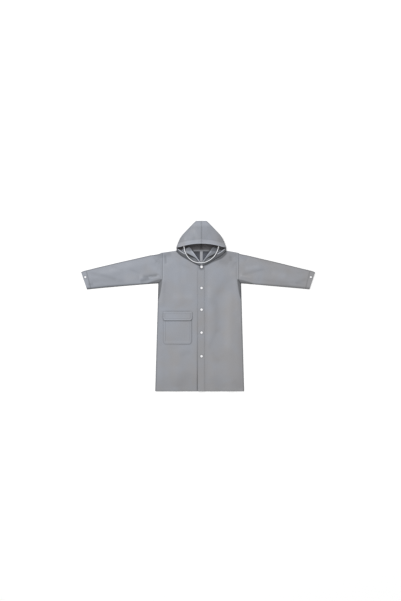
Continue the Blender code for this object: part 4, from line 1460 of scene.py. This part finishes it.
def hood_line(side, y, sign):
    """A line on the hood's outer face."""
    half, height, side_z = hood_size(y)
    rise = np.sqrt(np.maximum(1.0 - (side / half) ** 2, 0.0))
    relief = hood_relief(side, y) * np.minimum(height / 0.03, 1.0)
    z = side_z + (height - side_z) * rise + relief * rise + CLOTH / 2
    return spots(CENTRE_X + sign * side, y, z + 0.0001)


# ---- snaps and cord
# A cap's rings from its rim inwards: width and rise, as shares of its radius and height.
CAP_RINGS = ((0.22, -0.06), (0.1, -0.1), (0.1, 0.1), (0.18, 0.09), (0.18, 0.03))


def snap_form(radius, height):
    """A moulded cap: a rolled rim, a shallow ring and a low dome."""
    cap = added(
        bpy.ops.mesh.primitive_cylinder_add, vertices=40, radius=radius, depth=height,
        location=(0, 0, height / 2))
    bpy.ops.object.mode_set(mode="EDIT")
    bpy.ops.mesh.select_mode(type="FACE")
    edit = bmesh.from_edit_mesh(cap.data)
    for face in edit.faces:
        face.select_set(face.normal.z > 0.9)
    edit.select_flush_mode()
    bmesh.update_edit_mesh(cap.data)
    for inset, rise in CAP_RINGS:
        bpy.ops.mesh.inset(thickness=inset * radius)
        bpy.ops.transform.translate(value=(0, 0, rise * height))
    bpy.ops.object.mode_set(mode="OBJECT")
    edges = cap.modifiers.new("edges", "BEVEL")
    edges.width = 0.12 * radius
    edges.segments = 3
    edges.limit_method = "ANGLE"
    edges.angle_limit = math.radians(30)
    bpy.ops.object.modifier_apply(modifier=edges.name)
    bpy.ops.object.shade_smooth_by_angle(angle=math.radians(40))
    mesh = cap.data.copy()
    bpy.data.objects.remove(cap, do_unlink=True)
    return mesh


def snap_cap(node_name):
    """A cap in the place of its CAD node, with its place in the mesh."""
    low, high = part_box(node_name)
    radius = (high.x - low.x) / 2
    mesh = snap_form(radius, high.z - low.z)
    mesh.transform(Matrix.Translation(((low.x + high.x) / 2, (low.y + high.y) / 2, low.z)))
    mesh.name = f"{node_name}_cap"
    obj = add_piece(f"{node_name}_cap", mesh, [finishes()["snap"]])
    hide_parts(node_name)
    return obj


def cord_tube():
    """The braided cord: rings along its route, raised in crossing strands."""
    spans = len(CORD_ROUTE) - 1
    path = through(CORD_ROUTE, np.linspace(0.0, spans, spans * CORD_RINGS + 1))
    along = np.gradient(path, axis=0)
    along /= np.linalg.norm(along, axis=1, keepdims=True)
    aside, up = across_path(along)
    angle = np.linspace(0.0, 2.0 * math.pi, CORD_SIDES, endpoint=False)
    turn = 2.0 * math.pi * run_of(path)[:, None] / BRAID_PITCH
    strands = np.sin(BRAID_STRANDS * angle + turn) * np.sin(BRAID_STRANDS * angle - turn)
    relief = 0.94 + 0.06 * strands
    radius = (CORD_DIAMETER / 2 * relief)[..., None]
    points = (
        path[:, None, :]
        + radius * np.cos(angle)[None, :, None] * aside[:, None, :]
        + radius * np.sin(angle)[None, :, None] * up[:, None, :]
    )
    # Painted shade: darker where the strands sink, and much darker under the brim.
    outside = smooth((0.448 - path[:, 1]) / 0.01)
    return path, points, relief * mix(0.3, 1.0, outside)[:, None]


def drawstring():
    path, points, shade = cord_tube()
    rings, ring = points.shape[:2]
    index = np.arange(rings * ring).reshape(rings, ring)
    faces = quads(around(index)).reshape(-1, 4).tolist()
    faces.append(index[0][::-1].tolist())
    faces.append(index[-1].tolist())
    mesh = new_mesh("drawstring_cord", points.reshape(-1, 3).tolist(), faces, shade.ravel())
    mesh.shade_smooth()
    obj = add_piece("drawstring_cord", mesh, [finishes()["cord"]])
    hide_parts("drawstring")
    return obj


# ---- the stage
Light = namedtuple("Light", "name place size share")
LIGHTS = (Light("key", (-2.9, 2.9, 4.6), 2.6, 1.0), Light("fill", (3.4, -2.4, 4.4), 3.0, 0.18))


def camera(settings):
    data = bpy.data.cameras.new("camera")
    data.lens = 85.0
    data.sensor_width = 36.0
    data.clip_end = 100.0
    obj = linked("camera", data)
    view = settings.view_height * data.lens / data.sensor_width
    obj.location = (settings.view_x, settings.view_y, view)
    obj.rotation_euler = (0.0, 0.0, 0.0)
    bpy.context.scene.camera = obj


def soft_light(name, place, size, power):
    data = bpy.data.lights.new(name, "AREA")
    data.shape = "DISK"
    data.size = size
    data.energy = power
    obj = linked(name, data)
    obj.location = place
    obj.rotation_euler = (-Vector(place)).to_track_quat("-Z", "Y").to_euler()
    obj.visible_camera = False


def floor(settings):
    obj = added(bpy.ops.mesh.primitive_plane_add, size=40.0, location=(0.0, 0.0, FLOOR_Z))
    obj.name = "floor"
    bpy.ops.object.transform_apply(location=True, rotation=True, scale=True)
    finish = Finish("pale_floor")
    obj.data.materials.append(finish.made({
        "Base Color": finish.times(tuple(settings.floor_colour), finish.mottled(0.8, 0.985, 1.0)),
        "Roughness": 0.9,
        "Specular IOR Level": 0.1,
        "Emission Color": (1.0, 1.0, 1.0),
        "Emission Strength": settings.floor_glow,
    }))


def world(strength):
    made = bpy.data.worlds.new("soft_room")
    made.use_nodes = True
    sky = made.node_tree.nodes["Background"]
    sky.inputs["Color"].default_value = (1.0, 1.0, 1.0, 1.0)
    sky.inputs["Strength"].default_value = strength
    bpy.context.scene.world = made


# ---- the add-on
def colour_setting(name, description, default):
    return bpy.props.FloatVectorProperty(
        name=name, description=description, subtype="COLOR", size=3, min=0.0, max=1.0, default=default)


def value_setting(name, description, default, low, high, **kind):
    return bpy.props.FloatProperty(
        name=name, description=description, default=default, min=low, max=high, **kind)


LENGTH = {"subtype": "DISTANCE", "unit": "LENGTH"}


class RaincoatSettings(bpy.types.PropertyGroup):
    """Colours and measures that a user would change"""
    cloth_colour: colour_setting("Cloth", "Bluish grey of the coated cloth", (0.302, 0.321, 0.362))
    cloth_second: colour_setting("Cloth, second", "Grey that it clouds to", (0.298, 0.297, 0.308))
    # The two inside colours are dark to stand in for the shade inside the coat and the hood: painted shade.
    inside_colour: colour_setting("Inside", "Uncoated face inside the coat", (0.092, 0.1, 0.125))
    hood_colour: colour_setting("Inside the hood", "Uncoated face inside the hood", (0.098, 0.094, 0.1))
    thread_colour: colour_setting("Thread", "Sewing thread", (0.3, 0.31, 0.34))
    tape_colour: colour_setting("Seam tape", "Bonded tape inside the neck", SLOT_COLOURS["seam_tape"])
    snap_colour: colour_setting("Snaps", "Moulded snap caps", (0.95, 0.95, 0.96))
    cord_colour: colour_setting("Drawstring", "Braided drawstring", (0.94, 0.955, 0.985))
    floor_colour: colour_setting("Floor", "The pale floor", (0.93, 0.93, 0.93))
    floor_glow: value_setting("Floor glow", "Lifts the floor to plain white", 0.2, 0.0, 1.0)
    weave: value_setting("Weave", "Width of one thread of the cloth", 0.0007, 0.0002, 0.003, **LENGTH)
    crumple: value_setting(
        "Crumple", "Strength of the cloth's fine unevenness", 0.25, 0.0, 1.0, subtype="FACTOR")
    view_x: value_setting("View X", "Point that the camera is above", 0.018, -5.0, 5.0, **LENGTH)
    view_y: value_setting("View Y", "Point that the camera is above", 0.041, -5.0, 5.0, **LENGTH)
    view_height: value_setting(
        "View height", "Height of the floor that the picture covers", 4.477, 1.0, 20.0, **LENGTH)
    key_power: value_setting("Key light", "Power of the large soft light", 185.0, 0.0, 5000.0, unit="POWER")
    room_light: value_setting("Room light", "Even light from all round", 0.6, 0.0, 5.0)


class PieceOperator:
    """Base of the operators that each make one group of pieces."""
    bl_options = {"REGISTER", "UNDO"}

    def execute(self, context):
        self.make(context.scene.raincoat)
        return {"FINISHED"}


class RAINCOAT_OT_stage(PieceOperator, bpy.types.Operator):
    """Camera, floor and soft studio light"""
    bl_idname = "raincoat.stage"
    bl_label = "Stage"

    def make(self, settings):
        camera(settings)
        floor(settings)
        for light in LIGHTS:
            soft_light(light.name, light.place, light.size, settings.key_power * light.share)
        world(settings.room_light)
        bpy.context.scene.view_settings.view_transform = "Standard"


class RAINCOAT_OT_drawstring(PieceOperator, bpy.types.Operator):
    """The braided drawstring that hangs in a U out of the hood"""
    bl_idname = "raincoat.drawstring"
    bl_label = "Drawstring"

    def make(self, settings):
        drawstring()


class RAINCOAT_OT_backs(PieceOperator, bpy.types.Operator):
    """The two back panels, which lie flat on the floor"""
    bl_idname = "raincoat.backs"
    bl_label = "Back panels"

    def make(self, settings):
        for side, sign in SIDES:
            points = back_points(sign)
            cloth_piece(
                f"back_{side}", points, back_shade(points, sign), CLOTH, outside="inside", inside="cloth")


class RAINCOAT_OT_fronts(PieceOperator, bpy.types.Operator):
    """The two fronts, the left one lapped over the right"""
    bl_idname = "raincoat.fronts"
    bl_label = "Fronts"

    def make(self, settings):
        for (side, sign), last in zip(SIDES, (-OVERLAP, -PLACKET / 2 - 0.001)):
            points = front_points(sign, last)
            shade = front_shade(points[..., 0], points[..., 1], sign)
            cloth_piece(f"front_{side}", points, shade, CLOTH)


class RAINCOAT_OT_placket(PieceOperator, bpy.types.Operator):
    """The stitched snap band down the front"""
    bl_idname = "raincoat.placket"
    bl_label = "Snap band"

    def make(self, settings):
        points = placket_points()
        shade = placket_shade(points[..., 0], points[..., 1])
        cloth_piece("placket", points, shade, TRIM)


class RAINCOAT_OT_sleeves(PieceOperator, bpy.types.Operator):
    """The two sleeves with their turned and stitched cuffs"""
    bl_idname = "raincoat.sleeves"
    bl_label = "Sleeves"

    def make(self, settings):
        for (side, sign), edges in zip(SIDES, (SLEEVE_RIGHT, SLEEVE_LEFT)):
            points, from_cuff, inside = sleeve_points(edges, sign)
            shade = sleeve_shade(points, from_cuff, inside, sign)
            cloth_piece(f"sleeve_{side}", points, shade, CLOTH, closed=True)
            stitching(f"cuff_stitching_{side}", cuff_paths(points, from_cuff))


class RAINCOAT_OT_hood(PieceOperator, bpy.types.Operator):
    """The hood's two halves and the turned facing inside its opening"""
    bl_idname = "raincoat.hood"
    bl_label = "Hood"

    def make(self, settings):
        for side, sign in SIDES:
            points, climb = hood_points(sign)
            cloth_piece(
                f"hood_{side}", points, hood_shade(points, climb), CLOTH, inside="hood_inside",
                cap=True)
            points = facing_points(sign)
            cloth_piece(
                f"hood_facing_{side}", points, facing_shade(points, sign), TRIM, outside="facing")
        stitching("hood_stitching", hood_paths())


class RAINCOAT_OT_pocket(PieceOperator, bpy.types.Operator):
    """The patch pocket and its flap"""
    bl_idname = "raincoat.pocket"
    bl_label = "Pocket"

    def make(self, settings):
        hem = [BAG_HEM + step for step in (-0.004, -0.002, 0.0, 0.002)]
        rows = [FLAP_STITCH + step for step in (-0.002, 0.0, 0.002, 0.004)]
        for name, patch, height, shade, down, marks, under in (
            ("pocket_bag", BAG, bag_height, bag_shade, 66, [0.002, 0.004, 0.006] + hem, "front_right_cloth"),
            ("pocket_flap", FLAP, flap_height, flap_shade, 24, [0.0015, 0.003] + rows, "pocket_bag_cloth"),
        ):
            points = patch_points(patch, height, 64, down, marks)
            shades = shade(points[..., 0], points[..., 1])
            cloth_piece(name, points, shades, TRIM)
        stitching("pocket_stitching", pocket_paths())


class RAINCOAT_OT_tapes(PieceOperator, bpy.types.Operator):
    """The tapes over the neck seam and the centre-back seam, inside"""
    bl_idname = "raincoat.tapes"
    bl_label = "Seam tapes"

    def make(self, settings):
        z = CLOTH + SEAM + TAPE / 2
        low = NECK_Y - NECK_TAPE_WIDTH / 2
        # The neck tape lies in the shade under the hood, so its colour carries painted shade.
        for name, half, start, end, painted_tape_shade in (
            ("neck_tape", NECK_TAPE_HALF, low, low + NECK_TAPE_WIDTH, 0.54),
            ("centre_back_tape", TAPE_WIDTH / 2, BACK_TAPE_END, low - SEAM, 1.0),
        ):
            x, y = np.meshgrid(np.linspace(CENTRE_X - half, CENTRE_X + half, 40), np.linspace(start, end, 24))
            points = spots(x, y, z)
            cloth_piece(
                name, points, painted_tape_shade * tape_shade(x), TAPE, kind="strip", outside="tape", inside="tape")


class RAINCOAT_OT_snaps(PieceOperator, bpy.types.Operator):
    """The snap caps down the front and at the cuffs"""
    bl_idname = "raincoat.snaps"
    bl_label = "Snaps"

    def make(self, settings):
        for name in sorted(frame["nodes"]):
            if "_snap_" in name:
                snap_cap(name)


class RAINCOAT_OT_sewing(PieceOperator, bpy.types.Operator):
    """The stitched lines on the body and the snap band"""
    bl_idname = "raincoat.sewing"
    bl_label = "Sewing"

    def make(self, settings):
        stitching("body_stitching", body_paths())
        stitching("placket_stitching", placket_paths())


OPERATORS = (
    RAINCOAT_OT_stage,
    RAINCOAT_OT_drawstring,
    RAINCOAT_OT_backs,
    RAINCOAT_OT_fronts,
    RAINCOAT_OT_placket,
    RAINCOAT_OT_sleeves,
    RAINCOAT_OT_hood,
    RAINCOAT_OT_pocket,
    RAINCOAT_OT_tapes,
    RAINCOAT_OT_snaps,
    RAINCOAT_OT_sewing,
)


class RAINCOAT_PT_panel(bpy.types.Panel):
    """Lists the coat's settings and the steps that make it"""
    bl_idname = "RAINCOAT_PT_panel"
    bl_label = "Raincoat"
    bl_space_type = "VIEW_3D"
    bl_region_type = "UI"
    bl_category = "Raincoat"

    def draw(self, context):
        for name in RaincoatSettings.__annotations__:
            self.layout.prop(context.scene.raincoat, name)
        for operator in OPERATORS:
            self.layout.operator(operator.bl_idname)


CLASSES = (RaincoatSettings, *OPERATORS, RAINCOAT_PT_panel)


def register():
    for made in CLASSES:
        bpy.utils.register_class(made)
    bpy.types.Scene.raincoat = bpy.props.PointerProperty(type=RaincoatSettings)


def unregister():
    del bpy.types.Scene.raincoat
    for made in reversed(CLASSES):
        bpy.utils.unregister_class(made)


def main():
    register()
    for operator in OPERATORS:
        group, step = operator.bl_idname.split(".")
        getattr(getattr(bpy.ops, group), step)()


if __name__ == "__main__":
    main()
